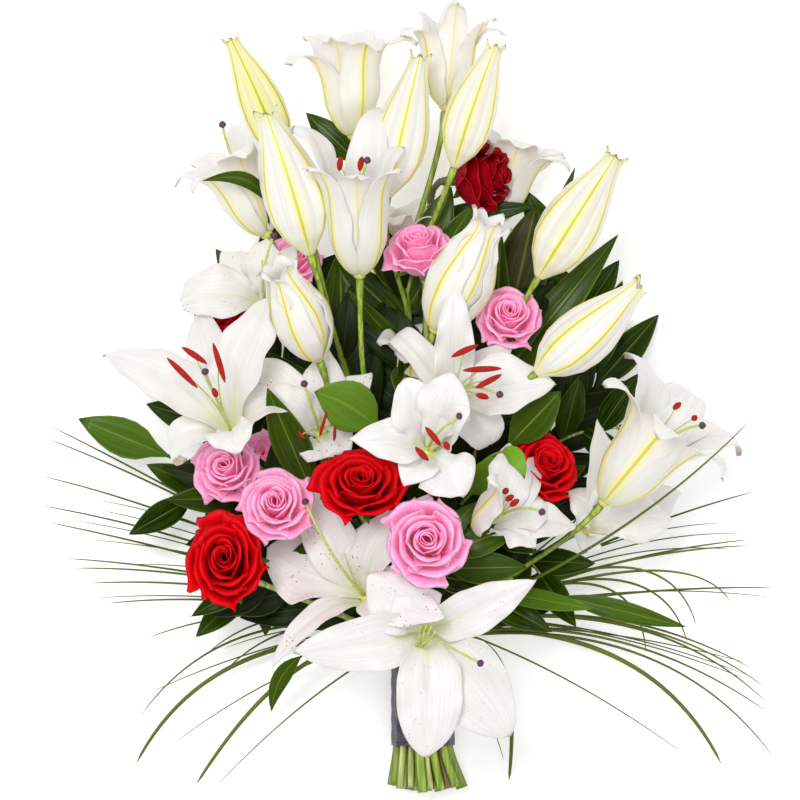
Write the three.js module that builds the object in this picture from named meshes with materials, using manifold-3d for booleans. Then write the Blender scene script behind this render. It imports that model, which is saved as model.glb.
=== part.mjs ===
// A hand-tied bouquet of lilies, roses, broad-leaved greenery and bear grass, lying on its back.
// Millimetres. +Y runs from the cut ends to the flower tips, +Z is the side that is looked at,
// and the origin is under the tie, on the surface that the bouquet rests on.
import * as THREE from "three";
import { mergeVertices } from "three/addons/utils/BufferGeometryUtils.js";
import Module from "manifold-3d";

const wasm = await Module();
wasm.setup();

// Driving dimensions
const GAP = 0.35;
const PETAL_THICKNESS = 1.5;
const LEAF_THICKNESS = 1.3;
const ROSE_STEM_RADIUS = 2.7;
const LILY_STEM_RADIUS = 3.6;
const PEDICEL_RADIUS = 2.2;
const RUSCUS_STEM_RADIUS = 2;
const TUFT_RADIUS = 4.5;
const GRASS_RADIUS = 1;
const LEAF_SINK = 1.5;
const CUT_Y = -73;
const TIE_LOW = -37;
const TIE_HIGH = 30;
const RIBBON_HIGH = 23;
const TIE_SPREAD = 22;
const RIBBON_THICKNESS = 1.2;
const WELD = 0.004;
const FLARE = 1.42;
const LEANING = 4;
const UNEVEN_CUT = 3;
const ROUNDED_CUT = 0.012;
const NECK = 20;
const BUNDLE_CENTRE = 14;
const TWIG_RADIUS = 1.6;
const GRASS_SAG = 26;
const DROOP_FROM = 90;
const DROOP_SPAN = 130;
const DROOP_REACH = 46;
const OVER_FLOWERS = 100;
const OVER_BEND = [14, -26, 80];
const ROSE_SEAT_RADIUS = 5;
const RECEPTACLE_RADIUS = 7.5;
const RECEPTACLE_HEIGHT = 13;
const FOOT_RADIUS = 3.4;
const FOOT_HEIGHT = 12.5;
const KNOT_RADIUS = 4;

// How finely the solids are faceted
const STEM_SIDES = 5;
const STEM_STEPS = 8;
const FINE_SIDES = 3;
const BUD_SIDES = 9;
const CORE_SIDES = 6;
const RIBBON_SIDES = 16;
const LINE_STEPS = 24;
const LEAF_STATIONS = [0, 0.22, 0.62, 1];
const PETAL_STATIONS = [0, 0.27, 0.56, 0.83, 1];
const ROSE_STATIONS = [0, 0.34, 0.68, 1];
const TAIL_STATIONS = [0, 0.5, 1];
const BLADE_COLUMNS = 3;

const WHITE = { color: 0xf6f5ef, roughness: 0.55 };
const BUD_WHITE = { color: 0xf0f2d8, roughness: 0.5 };
const RED = { color: 0xa50d14, roughness: 0.6 };
const PINK = { color: 0xe88fc0, roughness: 0.55 };
const STEM_GREEN = { color: 0x8aa84f, roughness: 0.5 };
const WOODY_GREEN = { color: 0x55702c, roughness: 0.6 };
const LEAF_GREEN = { color: 0x1f4a1c, roughness: 0.35 };
const GRASS_GREEN = { color: 0x4f6f38, roughness: 0.5 };
const ANTHER_RED = { color: 0x8c2415, roughness: 0.8 };
const SATIN = { color: 0x3a3442, roughness: 0.4 };

const UP = new THREE.Vector3(0, 0, 1);
const degrees = (angle) => (angle * Math.PI) / 180;
const vector = (point) => new THREE.Vector3(...point);
const mix = (a, b, t) => a + (b - a) * t;
const clamp = (value, low, high) => Math.min(high, Math.max(low, value));

// Closed solids from points and triangles
function solidFrom(points, faces) {
  const vertProperties = new Float32Array(points.length * 3);
  points.forEach((point, index) => point.toArray(vertProperties, index * 3));
  let volume = 0;
  faces.forEach(([a, b, c]) => {
    volume += points[a].dot(points[b].clone().cross(points[c]));
  });
  const outward = volume < 0 ? faces.map(([a, b, c]) => [a, c, b]) : faces;
  const triVerts = new Uint32Array(outward.flat());
  return new wasm.Manifold(new wasm.Mesh({ numProp: 3, vertProperties, triVerts }));
}

const joined = (solids) => solids.reduce((whole, solid) => whole.add(solid));

// A solid skin over rings of points, with a flat cap at each end
function loft(rings) {
  const count = rings[0].length;
  const points = rings.flat();
  const faces = [];
  for (let ring = 0; ring + 1 < rings.length; ring++) {
    for (let side = 0; side < count; side++) {
      const next = (side + 1) % count;
      const a = ring * count + side;
      const b = ring * count + next;
      faces.push([a, b, b + count], [a, b + count, a + count]);
    }
  }
  const last = (rings.length - 1) * count;
  for (let side = 1; side + 1 < count; side++) {
    faces.push([0, side + 1, side], [last, last + side, last + side + 1]);
  }
  return solidFrom(points, faces);
}

// A round bar along a path; its radius may change along its length
function bar(path, radius, sides, steps, grow = 0) {
  const frames = path.computeFrenetFrames(steps, false);
  const rings = [];
  for (let step = 0; step <= steps; step++) {
    const t = step / steps;
    const centre = path.getPointAt(t);
    if (step === 0) centre.addScaledVector(frames.tangents[0], -grow);
    if (step === steps) centre.addScaledVector(frames.tangents[steps], grow);
    const reach = (typeof radius === "function" ? radius(t) : radius) + grow * 1.15;
    const ring = [];
    for (let side = 0; side < sides; side++) {
      const angle = (side / sides) * 2 * Math.PI;
      ring.push(
        centre
          .clone()
          .addScaledVector(frames.normals[step], Math.cos(angle) * reach)
          .addScaledVector(frames.binormals[step], Math.sin(angle) * reach),
      );
    }
    rings.push(ring);
  }
  return loft(rings);
}

// A thin closed blade over a surface of u along and v across: thick inside, sharp at the rim,
// drawn to a point at its root, and at its tip too unless the tip is blunt.
// Grown, it is a clearance solid whose rim is as thick as the rest.
const RIM_DEPTH = 0.25;
const RIM_REACH = 1.6;

function blade(surface, alongs, thickness, grow = 0, blunt = false) {
  const rows = alongs.length;
  const columns = BLADE_COLUMNS;
  const step = 0.01;
  const points = [];
  const top = [];
  const bottom = [];
  const flagged = (row, column) =>
    row > 0 && row < rows - 1 && column > 0 && column < columns - 1;
  for (let row = 0; row < rows; row++) {
    top.push([]);
    bottom.push([]);
    const pointed = grow === 0 && (row === 0 || (row === rows - 1 && !blunt));
    for (let column = 0; column < columns; column++) {
      if (pointed) {
        if (column === 0) points.push(surface(alongs[row], 0));
        top[row].push(points.length - 1);
        bottom[row].push(points.length - 1);
        continue;
      }
      const u = alongs[row];
      const v = (column / (columns - 1)) * 2 - 1;
      const here = surface(u, v);
      const low = clamp(u - step, 0, 1);
      const high = clamp(u + step, 0, 1);
      const along = surface(high, v).sub(surface(low, v)).normalize();
      const inU = clamp(u, 0.02, 0.97);
      const across = surface(inU, Math.min(1, v + 0.1)).sub(surface(inU, Math.max(-1, v - 0.1)));
      across.normalize();
      const normal = along.clone().cross(across).normalize();
      const rim = !flagged(row, column);
      const half = grow > 0 ? thickness / 2 + grow : thickness / 2;
      if (grow > 0) {
        const outU = row === 0 ? -1 : row === rows - 1 ? 1 : 0;
        const outV = column === 0 ? -1 : column === columns - 1 ? 1 : 0;
        here.addScaledVector(along, outU * grow * RIM_REACH);
        here.addScaledVector(across, outV * grow * RIM_REACH);
      }
      if (rim && grow === 0) {
        top[row].push(points.push(here) - 1);
        bottom[row].push(top[row][column]);
      } else {
        const depth = rim ? RIM_DEPTH + grow : half;
        top[row].push(points.push(here.clone().addScaledVector(normal, depth)) - 1);
        bottom[row].push(points.push(here.clone().addScaledVector(normal, -depth)) - 1);
      }
    }
  }
  const faces = [];
  const face = (a, b, c) => {
    if (a !== b && b !== c && a !== c) faces.push([a, b, c]);
  };
  for (let row = 0; row + 1 < rows; row++) {
    for (let column = 0; column + 1 < columns; column++) {
      const straight = flagged(row, column) || flagged(row + 1, column + 1);
      [top, bottom].forEach((sheet, which) => {
        const a = sheet[row][column];
        const b = sheet[row][column + 1];
        const c = sheet[row + 1][column + 1];
        const d = sheet[row + 1][column];
        const pair = straight
          ? [
              [a, b, c],
              [a, c, d],
            ]
          : [
              [a, b, d],
              [b, c, d],
            ];
        pair.forEach(([p, q, r]) => (which ? face(p, r, q) : face(p, q, r)));
      });
    }
  }
  if (grow > 0) {
    const round = [];
    for (let column = 0; column < columns; column++) round.push([0, column]);
    for (let row = 1; row < rows; row++) round.push([row, columns - 1]);
    for (let column = columns - 2; column >= 0; column--) round.push([rows - 1, column]);
    for (let row = rows - 2; row > 0; row--) round.push([row, 0]);
    round.forEach(([row, column], index) => {
      const [nextRow, nextColumn] = round[(index + 1) % round.length];
      const a = top[row][column];
      const b = top[nextRow][nextColumn];
      const c = bottom[nextRow][nextColumn];
      const d = bottom[row][column];
      face(a, c, b);
      face(a, d, c);
    });
  }
  return solidFrom(points, faces);
}

// Three directions of a flower: its axis, the direction that turn 0 points to, and turn 90
function flowerFrame(axis) {
  const along = vector(axis).normalize();
  const right = new THREE.Vector3(1, 0, 0);
  const first =
    Math.abs(along.z) > 0.6
      ? right.addScaledVector(along, -right.dot(along)).normalize()
      : along.clone().cross(UP).normalize();
  return { along, first, second: along.clone().cross(first) };
}

// A smooth value through evenly spaced keys
function keyed(keys, t) {
  const place = clamp(t, 0, 1) * (keys.length - 1);
  const index = Math.min(Math.floor(place), keys.length - 2);
  const part = place - index;
  return mix(keys[index], keys[index + 1], part * part * (3 - 2 * part));
}

// The middle line of a petal: how far it is from the flower's axis and how high along it.
// lean holds the petal's angles from the axis, in degrees, from its root to its tip.
function petalLine(lean, length, rootRadius) {
  const line = [{ out: rootRadius, up: 0, lean: degrees(lean[0]) }];
  for (let step = 1; step <= LINE_STEPS; step++) {
    const angle = degrees(keyed(lean, (step - 0.5) / LINE_STEPS));
    const before = line[step - 1];
    line.push({
      out: before.out + (Math.sin(angle) * length) / LINE_STEPS,
      up: before.up + (Math.cos(angle) * length) / LINE_STEPS,
      lean: degrees(keyed(lean, step / LINE_STEPS)),
    });
  }
  return line;
}

// The widths of a petal along its length, as shares of its greatest width
const tepalWidth = (u) => 0.16 * (1 - u) + 1.02 * Math.sin(Math.PI * u ** 0.86) ** 0.85;
const roundWidth = (u) => Math.sin(Math.PI * (0.07 + 0.78 * u)) ** 0.7;
const leafWidth = (u) => 0.1 * (1 - u) + 0.96 * Math.sin(Math.PI * u ** 0.8) ** 0.9;

function petalSurface(at, frame, petal) {
  const { turn, lean, length, width, rootRadius = 4, cup, cover = 1, wave = 0 } = petal;
  const line = petalLine(lean, length, rootRadius);
  const profile = petal.round ? roundWidth : tepalWidth;
  const origin = vector(at);
  return (u, v) => {
    const place = clamp(u, 0, 1) * (line.length - 1);
    const index = Math.min(Math.floor(place), line.length - 2);
    const part = place - index;
    const out = mix(line[index].out, line[index + 1].out, part);
    const up = mix(line[index].up, line[index + 1].up, part);
    const angle = mix(line[index].lean, line[index + 1].lean, part);
    const heading = degrees(turn);
    const outward = frame.first
      .clone()
      .multiplyScalar(Math.cos(heading))
      .addScaledVector(frame.second, Math.sin(heading));
    const sideways = frame.along.clone().cross(outward);
    const inward = frame.along
      .clone()
      .multiplyScalar(Math.sin(angle))
      .addScaledVector(outward, -Math.cos(angle));
    const half = v * Math.min((width * profile(u)) / 2, cover * Math.max(out, 3));
    const bend = keyed(cup, u) / Math.max(out, 5);
    const turned = half * bend;
    const across = Math.abs(turned) < 1e-4 ? half : Math.sin(turned) / bend;
    const lift = Math.abs(turned) < 1e-4 ? 0 : (1 - Math.cos(turned)) / bend;
    const ripple = wave * v * v * Math.sin(2 * Math.PI * (1.6 * u + 0.13 * turn) + v) * u;
    return origin
      .clone()
      .addScaledVector(frame.along, up)
      .addScaledVector(outward, out)
      .addScaledVector(sideways, across)
      .addScaledVector(inward, lift + ripple);
  };
}

// The base that a flower's petals grow from
function receptacle(at, frame, radius, height, sides, grow = 0) {
  const rings = [-grow, height * 0.45, height + grow].map((up, index) => {
    const reach = radius * [0.75, 1, 0.5][index] + grow;
    const ring = [];
    for (let side = 0; side < sides; side++) {
      const angle = (side / sides) * 2 * Math.PI;
      ring.push(
        vector(at)
          .addScaledVector(frame.along, up)
          .addScaledVector(frame.first, Math.cos(angle) * reach)
          .addScaledVector(frame.second, Math.sin(angle) * reach),
      );
    }
    return ring;
  });
  return loft(rings);
}

// Closed buds: six ribs round one body, drawn to three small horns
const BUD_STATIONS = [0, 0.12, 0.36, 0.62, 0.88, 1];
const BUD_SWELL = [0.16, 0.5, 0.98, 0.9, 0.36, 0.17];
const BUD_LOBES = [0, 0.05, 0.05, 0.06, 0.2, 0.7];

function budShape({ base, tip, width }, grow = 0) {
  const length = vector(tip).distanceTo(vector(base));
  const frame = flowerFrame(vector(tip).sub(vector(base)).toArray());
  const rings = BUD_STATIONS.map((station, index) => {
    const ring = [];
    for (let side = 0; side < BUD_SIDES; side++) {
      const angle = (side / BUD_SIDES) * 2 * Math.PI;
      const lobe = BUD_LOBES[index];
      const rib = 1 + lobe * Math.cos(3 * angle);
      const reach = (width / 2) * BUD_SWELL[index] * rib + grow;
      const shift = station === 0 ? -grow : station === 1 ? grow : 0;
      const drop = index === BUD_STATIONS.length - 1 ? 3 - 3 * Math.cos(3 * angle) : 0;
      ring.push(
        vector(base)
          .addScaledVector(frame.along, station * length + shift - drop)
          .addScaledVector(frame.first, Math.cos(angle) * reach)
          .addScaledVector(frame.second, Math.sin(angle) * reach),
      );
    }
    return ring;
  });
  return loft(rings);
}

// Half-open and open lilies: six petals in two rings of three on one base
const OUTER_LEAN = 1.08;
const OUTER_ROOT = { rootRadius: 4.6, raise: 3.5, wave: 0.7 };
const INNER_ROOT = { rootRadius: 2.4, raise: 6, wave: 1.4 };

function lilyShape({ base, axis, petals }, grow = 0) {
  const frame = flowerFrame(axis);
  const blades = petals.map((petal, index) => {
    const inner = index % 2;
    const { raise, ...ring } = inner ? INNER_ROOT : OUTER_ROOT;
    const shape = {
      cup: [1, 0.9, 0.6, 0.2],
      cover: 0.86,
      ...ring,
      ...petal,
      lean: petal.lean.map((angle) => angle * (inner ? 1 : OUTER_LEAN)),
    };
    const root = vector(base).addScaledVector(frame.along, raise);
    return blade(petalSurface(root, frame, shape), PETAL_STATIONS, PETAL_THICKNESS, grow);
  });
  const seat = receptacle(base, frame, RECEPTACLE_RADIUS, RECEPTACLE_HEIGHT, STEM_SIDES, grow);
  return joined([seat, ...blades]);
}

// Stamens and pistil: they spread from one small foot inside the bloom
function stamenShape({ base, axis, spread, height, anther, style }, grow = 0) {
  const frame = flowerFrame(axis);
  const foot = vector(base).addScaledVector(frame.along, FOOT_HEIGHT);
  const parts = [];
  const point = (up, out, turn) =>
    foot
      .clone()
      .addScaledVector(frame.along, up)
      .addScaledVector(frame.first, Math.cos(degrees(turn)) * out)
      .addScaledVector(frame.second, Math.sin(degrees(turn)) * out);
  for (let stamen = 0; stamen < 6; stamen++) {
    const turn = stamen * 60 + 30;
    const path = new THREE.CatmullRomCurve3([
      point(0, 2.2, turn),
      point(height * 0.7, spread * 0.55, turn),
      point(height, spread, turn),
      point(height + anther * 0.3, spread + anther * 0.8, turn + 12),
    ]);
    const bulge = (t) => 0.9 + (anther && t > 0.7 && t < 0.95 ? 1.7 : 0);
    parts.push(bar(path, bulge, FINE_SIDES, 4, grow));
  }
  const end = vector(style);
  const bow = point(height * 0.7, 0, 0);
  const pistil = new THREE.QuadraticBezierCurve3(point(-1, 0, 0), bow, end);
  parts.push(bar(pistil, (t) => (t > 0.9 ? 2.6 : 1.2), FINE_SIDES, 3, grow));
  const disc = new THREE.LineCurve3(point(-1.2, 0, 0), point(2, 0, 0));
  parts.push(bar(disc, FOOT_RADIUS, CORE_SIDES, 1, grow));
  return joined(parts);
}

// Roses: petals in rings round a furled middle, each ring wider and more open than the last.
// seat is a ring's height on the middle; that, length and width are shares of the bloom's size.
const ROSE_RINGS = [
  { count: 3, seat: 0.12, length: 0.58, lean: [62, -2, -8], width: 0.62, cup: 1 },
  { count: 4, seat: 0.05, length: 0.74, lean: [86, 12, 82], width: 0.76, cup: 0.8 },
];

function roseShape({ base, axis, size, turn = 0 }, grow = 0) {
  const frame = flowerFrame(axis);
  const core = [
    [0, 0.08],
    [0.14, 0.15],
    [0.5, 0.07],
  ].map(([up, reach], index) => {
    const ring = [];
    const shift = index === 0 ? -grow : index === 2 ? grow : 0;
    for (let side = 0; side < CORE_SIDES; side++) {
      const angle = degrees((side * 360) / CORE_SIDES + turn);
      ring.push(
        vector(base)
          .addScaledVector(frame.along, up * size + shift)
          .addScaledVector(frame.first, Math.cos(angle) * (reach * size + grow))
          .addScaledVector(frame.second, Math.sin(angle) * (reach * size + grow)),
      );
    }
    return ring;
  });
  const parts = [loft(core)];
  ROSE_RINGS.forEach(({ count, seat, length, lean, width, cup }, ring) => {
    const root = vector(base).addScaledVector(frame.along, seat * size);
    for (let petal = 0; petal < count; petal++) {
      const shape = {
        turn: turn + ring * 60 + (petal * 360) / count,
        lean,
        length: length * size,
        width: width * size,
        rootRadius: 0.07 * size,
        cover: (0.95 * Math.PI) / count,
        cup: [1, 1, cup],
        round: true,
      };
      const surface = petalSurface(root, frame, shape);
      parts.push(blade(surface, ROSE_STATIONS, PETAL_THICKNESS, grow, true));
    }
  });
  return joined(parts);
}

// Leaves: a folded blade from a root on its stem to a tip, arched on the way or bent by a point
function leafSurface({ root, tip, by, width, arch = 8, fold = 18 }) {
  const end = vector(tip);
  const start = vector(root);
  start.addScaledVector(end.clone().sub(start).normalize(), -LEAF_SINK);
  const arched = start.clone().add(end).multiplyScalar(0.5).addScaledVector(UP, arch);
  const path = new THREE.QuadraticBezierCurve3(start, by ? vector(by) : arched, end);
  return (u, v) => {
    const centre = path.getPoint(clamp(u, 0, 1));
    const along = path.getTangent(clamp(u, 0.01, 0.99));
    const side = along.clone().cross(UP).normalize();
    const over = side.clone().cross(along).normalize();
    const half = (v * width * leafWidth(u)) / 2;
    const raise = Math.abs(half) * Math.sin(degrees(fold));
    const aside = half * Math.cos(degrees(fold));
    return centre.addScaledVector(side, aside).addScaledVector(over, raise);
  };
}

const leafShape = (leaf, grow = 0) =>
  blade(leafSurface(leaf), LEAF_STATIONS, LEAF_THICKNESS, grow);

// How far the stems have spread at a height above the tie
const spreadAt = (y) => {
  const past = Math.max(0, y - TIE_HIGH);
  return Math.sqrt(past * past + TIE_SPREAD * TIE_SPREAD) - TIE_SPREAD;
};

// Each stem's place in the tie follows its direction above it; overlaps are then pushed apart
const BUNDLE_REACH = 34;
const PACK_ROUNDS = 1500;
const PULL_ROUNDS = 1100;
const PULL = 0.012;
const PACK_CLEARANCE = 0.5;

function packTie(stems) {
  const floor = RIBBON_THICKNESS + GAP;
  const slopes = stems.map(({ neck }) => {
    const spread = spreadAt(neck[1]);
    return [neck[0] / spread, neck[2] / spread];
  });
  const meanRise = slopes.reduce((sum, slope) => sum + Math.min(slope[1], 3), 0) / slopes.length;
  const places = slopes.map(([aside, rise]) => {
    const lifted = rise - meanRise;
    const reach = BUNDLE_REACH / (0.8 + Math.hypot(aside, lifted));
    return [aside * reach, BUNDLE_CENTRE + 2 + lifted * reach * 0.7];
  });
  const wanted = places.map((place) => [...place]);
  for (let round = 0; round < PACK_ROUNDS; round++) {
    const pull = round < PULL_ROUNDS ? PULL : 0;
    places.forEach((place, index) => {
      const [aside, rise] = wanted[index];
      place[0] += (-place[0] * 0.6 + (aside - place[0]) * 0.3) * pull;
      place[1] += ((BUNDLE_CENTRE - place[1]) * 0.6 + (rise - place[1]) * 0.3) * pull;
    });
    for (let one = 0; one < stems.length; one++) {
      for (let two = one + 1; two < stems.length; two++) {
        const across = places[two][0] - places[one][0];
        const rise = places[two][1] - places[one][1];
        const distance = Math.hypot(across, rise) || 0.01;
        const overlap = stems[one].radius + stems[two].radius + PACK_CLEARANCE - distance;
        if (overlap > 0) {
          const push = (overlap / distance) * 0.5;
          places[one][0] -= across * push;
          places[one][1] -= rise * push;
          places[two][0] += across * push;
          places[two][1] += rise * push;
        }
      }
    }
    places.forEach((place, index) => {
      place[1] = Math.max(place[1], floor + stems[index].radius);
    });
  }
  return places;
}

// The way of a stem: bundled through the tie, fanned above it, and turned to its flower's axis
function stemPath({ neck, end, place }) {
  const spread = spreadAt(neck[1]);
  const slope = [(neck[0] - place[0]) / spread, (neck[2] - place[1]) / spread];
  const low = BUNDLE_CENTRE + (place[1] - BUNDLE_CENTRE) * 1.05;
  const ragged = UNEVEN_CUT * Math.abs(Math.sin(3.1 * place[0] + place[1]));
  const uneven = ragged + ROUNDED_CUT * place[0] ** 2;
  const points = [
    [place[0] * FLARE + LEANING, CUT_Y + uneven, Math.max(low, place[1])],
    [place[0], TIE_LOW, place[1]],
    [place[0], RIBBON_HIGH - 2, place[1]],
    [place[0], TIE_HIGH, place[1]],
  ];
  const share = [0.16, 0.34, 0.56, 0.78, 1];
  share.forEach((part) => {
    const y = mix(TIE_HIGH, neck[1], part);
    const fan = spreadAt(y);
    points.push([place[0] + slope[0] * fan, y, place[1] + slope[1] * fan]);
  });
  if (end) points.push(end);
  return new THREE.CatmullRomCurve3(points.map(vector), false, "centripetal");
}

// How petals lean away from the flower's axis, from root to tip
const LEAN = {
  furled: [50, 20, 2, 4, 26, 84],
  trumpet: [50, 22, 4, 16, 66, 130],
  flared: [24, 18, 34, 64, 92, 118],
  open: [24, 26, 50, 74, 90, 108],
  flat: [26, 42, 68, 84, 92, 98],
  rolled: [22, 30, 66, 112, 160, 205],
  hooked: [22, 30, 60, 84, 128, 190],
  tall: [20, 14, 24, 40, 60, 90],
  broad: [26, 42, 68, 84, 92, 98],
  bulge: [22, 30, 56, 92, 150, 195],
};

// The flowers. Buds run from base to tip; other lilies have a base and an axis.
const BUDS = [
  { name: "lily_bud_1", base: [-106, 406, 74], tip: [-147, 499, 92], width: 34 },
  { name: "lily_bud_2", base: [-86, 334, 112], tip: [-120, 443, 140], width: 47 },
  { name: "lily_bud_3", base: [-28, 378, 92], tip: [-3, 486, 112], width: 41 },
  { name: "lily_bud_4", base: [22, 400, 88], tip: [54, 494, 106], width: 38 },
  { name: "lily_bud_5", base: [85, 317, 110], tip: [144, 410, 132], width: 46 },
  { name: "lily_bud_6", base: [83, 245, 138], tip: [163, 314, 160], width: 43 },
  { name: "lily_bud_7", base: [6, 275, 116], tip: [50, 363, 146], width: 42 },
  { name: "lily_bud_8", base: [-79, 254, 122], tip: [-110, 324, 166], width: 38 },
];

// Six petals round a flower, outer and inner in turn. Each row: turn, length, width, lean.
const petalsOf = (rows) =>
  rows.map(([turn, length, width, lean]) => ({ turn, length, width, lean: LEAN[lean] }));
const trumpet = (turn, length, lean, outer = 22, inner = 30) =>
  petalsOf(
    [0, 1, 2, 3, 4, 5].map((petal) => [
      turn + petal * 60,
      length,
      petal % 2 ? inner : outer,
      lean,
    ]),
  );

const LILIES = [
  {
    name: "lily_half_open_1",
    base: [-49, 316, 108],
    axis: [-2, 82, 30],
    petals: petalsOf([
      [316, 110, 32, "furled"],
      [28, 106, 36, "furled"],
      [72, 136, 34, "furled"],
      [162, 130, 38, "furled"],
      [214, 112, 30, "furled"],
      [270, 104, 38, "furled"],
    ]),
  },
  {
    name: "lily_half_open_2",
    base: [-54, 421, 60],
    axis: [-3, 62, 10],
    petals: petalsOf([
      [292, 112, 32, "trumpet"],
      [350, 102, 38, "trumpet"],
      [78, 106, 32, "trumpet"],
      [128, 100, 38, "trumpet"],
      [206, 95, 32, "trumpet"],
      [248, 90, 38, "furled"],
    ]),
  },
  {
    name: "lily_half_open_3",
    base: [15, 443, 58],
    axis: [5, 63, 10],
    petals: petalsOf([
      [334, 86, 24, "furled"],
      [18, 82, 28, "trumpet"],
      [88, 92, 24, "furled"],
      [150, 78, 26, "furled"],
      [222, 88, 24, "trumpet"],
      [276, 95, 22, "furled"],
    ]),
  },
  {
    name: "lily_half_open_4",
    base: [-118, 347, 66],
    axis: [-34, 69, 14],
    petals: petalsOf([
      [346, 100, 28, "trumpet"],
      [46, 110, 36, "trumpet"],
      [118, 100, 28, "trumpet"],
      [166, 90, 36, "trumpet"],
      [226, 95, 28, "trumpet"],
      [286, 98, 36, "trumpet"],
    ]),
  },
  {
    name: "lily_half_open_5",
    base: [132, 146, 108],
    axis: [59, 71, 18],
    petals: petalsOf([
      [328, 124, 34, "trumpet"],
      [30, 130, 48, "trumpet"],
      [268, 122, 44, "trumpet"],
      [92, 132, 46, "trumpet"],
      [206, 118, 36, "trumpet"],
      [150, 132, 46, "trumpet"],
    ]),
  },
  {
    name: "lily_half_open_6",
    base: [40, 124, 118],
    axis: [27, 26, 40],
    petals: petalsOf([
      [192, 94, 25, "furled"],
      [88, 80, 34, "flared"],
      [62, 84, 26, "flared"],
      [24, 62, 38, "flared"],
      [8, 80, 30, "open"],
      [330, 50, 34, "flared"],
    ]),
  },
  {
    name: "lily_half_open_7",
    base: [118, 126, 52],
    axis: [0.5, 0.2, 0.75],
    petals: petalsOf([
      [24, 88, 34, "open"],
      [46, 70, 36, "flared"],
      [96, 92, 30, "open"],
      [150, 52, 34, "flared"],
      [250, 24, 26, "flared"],
      [8, 76, 36, "flared"],
    ]),
  },
  {
    name: "lily_half_open_8",
    base: [50, 356, 26],
    axis: [13, 42, 3],
    petals: trumpet(-26, 90, "trumpet", 26, 36),
  },
  {
    name: "lily_open_1",
    base: [-142, 194, 106],
    axis: [-0.26, 0.6, 0.75],
    petals: petalsOf([
      [20, 78, 28, "rolled"],
      [60, 127, 40, "open"],
      [100, 120, 30, "open"],
      [148, 129, 38, "open"],
      [196, 84, 28, "rolled"],
      [288, 58, 38, "flared"],
    ]),
  },
  {
    name: "lily_open_2",
    base: [-77, 196, 80],
    axis: [-0.1, 0.3, 0.95],
    petals: petalsOf([
      [47, 68, 30, "open"],
      [81, 73, 36, "open"],
      [134, 100, 32, "hooked"],
      [140, 66, 28, "flared"],
      [250, 30, 30, "flared"],
      [320, 40, 36, "flared"],
    ]),
  },
  {
    name: "lily_open_3",
    base: [20, 216, 98],
    axis: [0.05, 0.42, 0.9],
    petals: petalsOf([
      [44, 74, 26, "open"],
      [93, 110, 28, "tall"],
      [132, 108, 21, "bulge"],
      [214, 56, 34, "flared"],
      [311, 66, 34, "bulge"],
      [2, 95, 48, "open"],
    ]),
  },
  {
    name: "lily_open_4",
    base: [2, 184, 144],
    axis: [0.04, 0.3, 0.95],
    petals: petalsOf([
      [116, 72, 42, "tall"],
      [181, 74, 32, "open"],
      [241, 46, 30, "flared"],
      [301, 50, 46, "broad"],
      [29, 76, 24, "furled"],
      [66, 78, 46, "tall"],
    ]),
  },
  {
    name: "lily_open_5",
    base: [-42, 74, 92],
    axis: [-0.36, 0.4, 0.84],
    petals: petalsOf([
      [112, 110, 36, "open"],
      [150, 90, 62, "broad"],
      [225, 105, 19, "open"],
      [330, 96, 40, "flat"],
      [60, 80, 30, "flared"],
      [39, 109, 34, "open"],
    ]),
  },
  {
    name: "lily_open_6",
    base: [0, 54, 118],
    axis: [0.08, -0.1, 0.99],
    petals: petalsOf([
      [189, 108, 38, "broad"],
      [135, 71, 46, "flat"],
      [116, 52, 44, "flared"],
      [27, 101, 31, "flat"],
      [308, 109, 54, "broad"],
      [270, 104, 46, "broad"],
    ]),
  },
  {
    name: "lily_open_7",
    base: [-118, 292, 62],
    axis: [-0.14, 0.4, 0.9],
    petals: petalsOf([
      [62, 56, 26, "open"],
      [84, 61, 34, "flared"],
      [127, 60, 34, "open"],
      [181, 91, 38, "hooked"],
      [258, 28, 26, "open"],
      [321, 44, 32, "open"],
    ]),
  },
];

const STAMENS = [
  { name: "stamens_1", lily: "lily_open_1", spread: 18, height: 52, anther: 22, style: [-158, 248, 176] },
  { name: "stamens_2", lily: "lily_open_3", spread: 18, height: 50, anther: 22, style: [54, 230, 166] },
  { name: "stamens_3", lily: "lily_open_4", spread: 13, height: 42, anther: 16, style: [24, 212, 198] },
  { name: "stamens_4", lily: "lily_open_6", spread: 15, height: 40, anther: 0, style: [40, 30, 186] },
];

const ROSES = [
  { name: "rose_red_1", base: [26, 391, 44], axis: [0.9, 0.16, 0.4], size: 66, turn: 40 },
  { name: "rose_red_2", base: [-49, 153, 142], axis: [0.02, 0.45, 0.89], size: 60, turn: 20 },
  { name: "rose_red_3", base: [-147, 100, 112], axis: [-0.08, 0.2, 0.97], size: 76, turn: 50 },
  { name: "rose_red_4", base: [82, 166, 90], axis: [0.36, 0.42, 0.83], size: 60, turn: 10 },
  { name: "rose_pink_1", base: [-2, 324, 82], axis: [-0.12, 0.8, 0.58], size: 56, turn: 35 },
  { name: "rose_pink_2", base: [61, 280, 90], axis: [0.1, 0.45, 0.88], size: 52, turn: 0 },
  { name: "rose_pink_3", base: [-145, 168, 82], axis: [-0.22, 0.3, 0.92], size: 54, turn: 70 },
  { name: "rose_pink_4", base: [-110, 142, 118], axis: [-0.08, 0.25, 0.96], size: 58, turn: 25 },
  { name: "rose_pink_5", base: [0, 118, 156], axis: [0.04, 0.1, 0.99], size: 68, turn: 60 },
  { name: "rose_red_5", base: [-150, 282, 26], axis: [-0.2, 0.5, 0.84], size: 46, whole: true },
  { name: "rose_pink_6", base: [-98, 322, 42], axis: [0, 0.6, 0.8], size: 46, whole: true },
  { name: "rose_pink_7", base: [-122, 176, 30], axis: [0, 0.4, 0.9], size: 46, whole: true },
];

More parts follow.
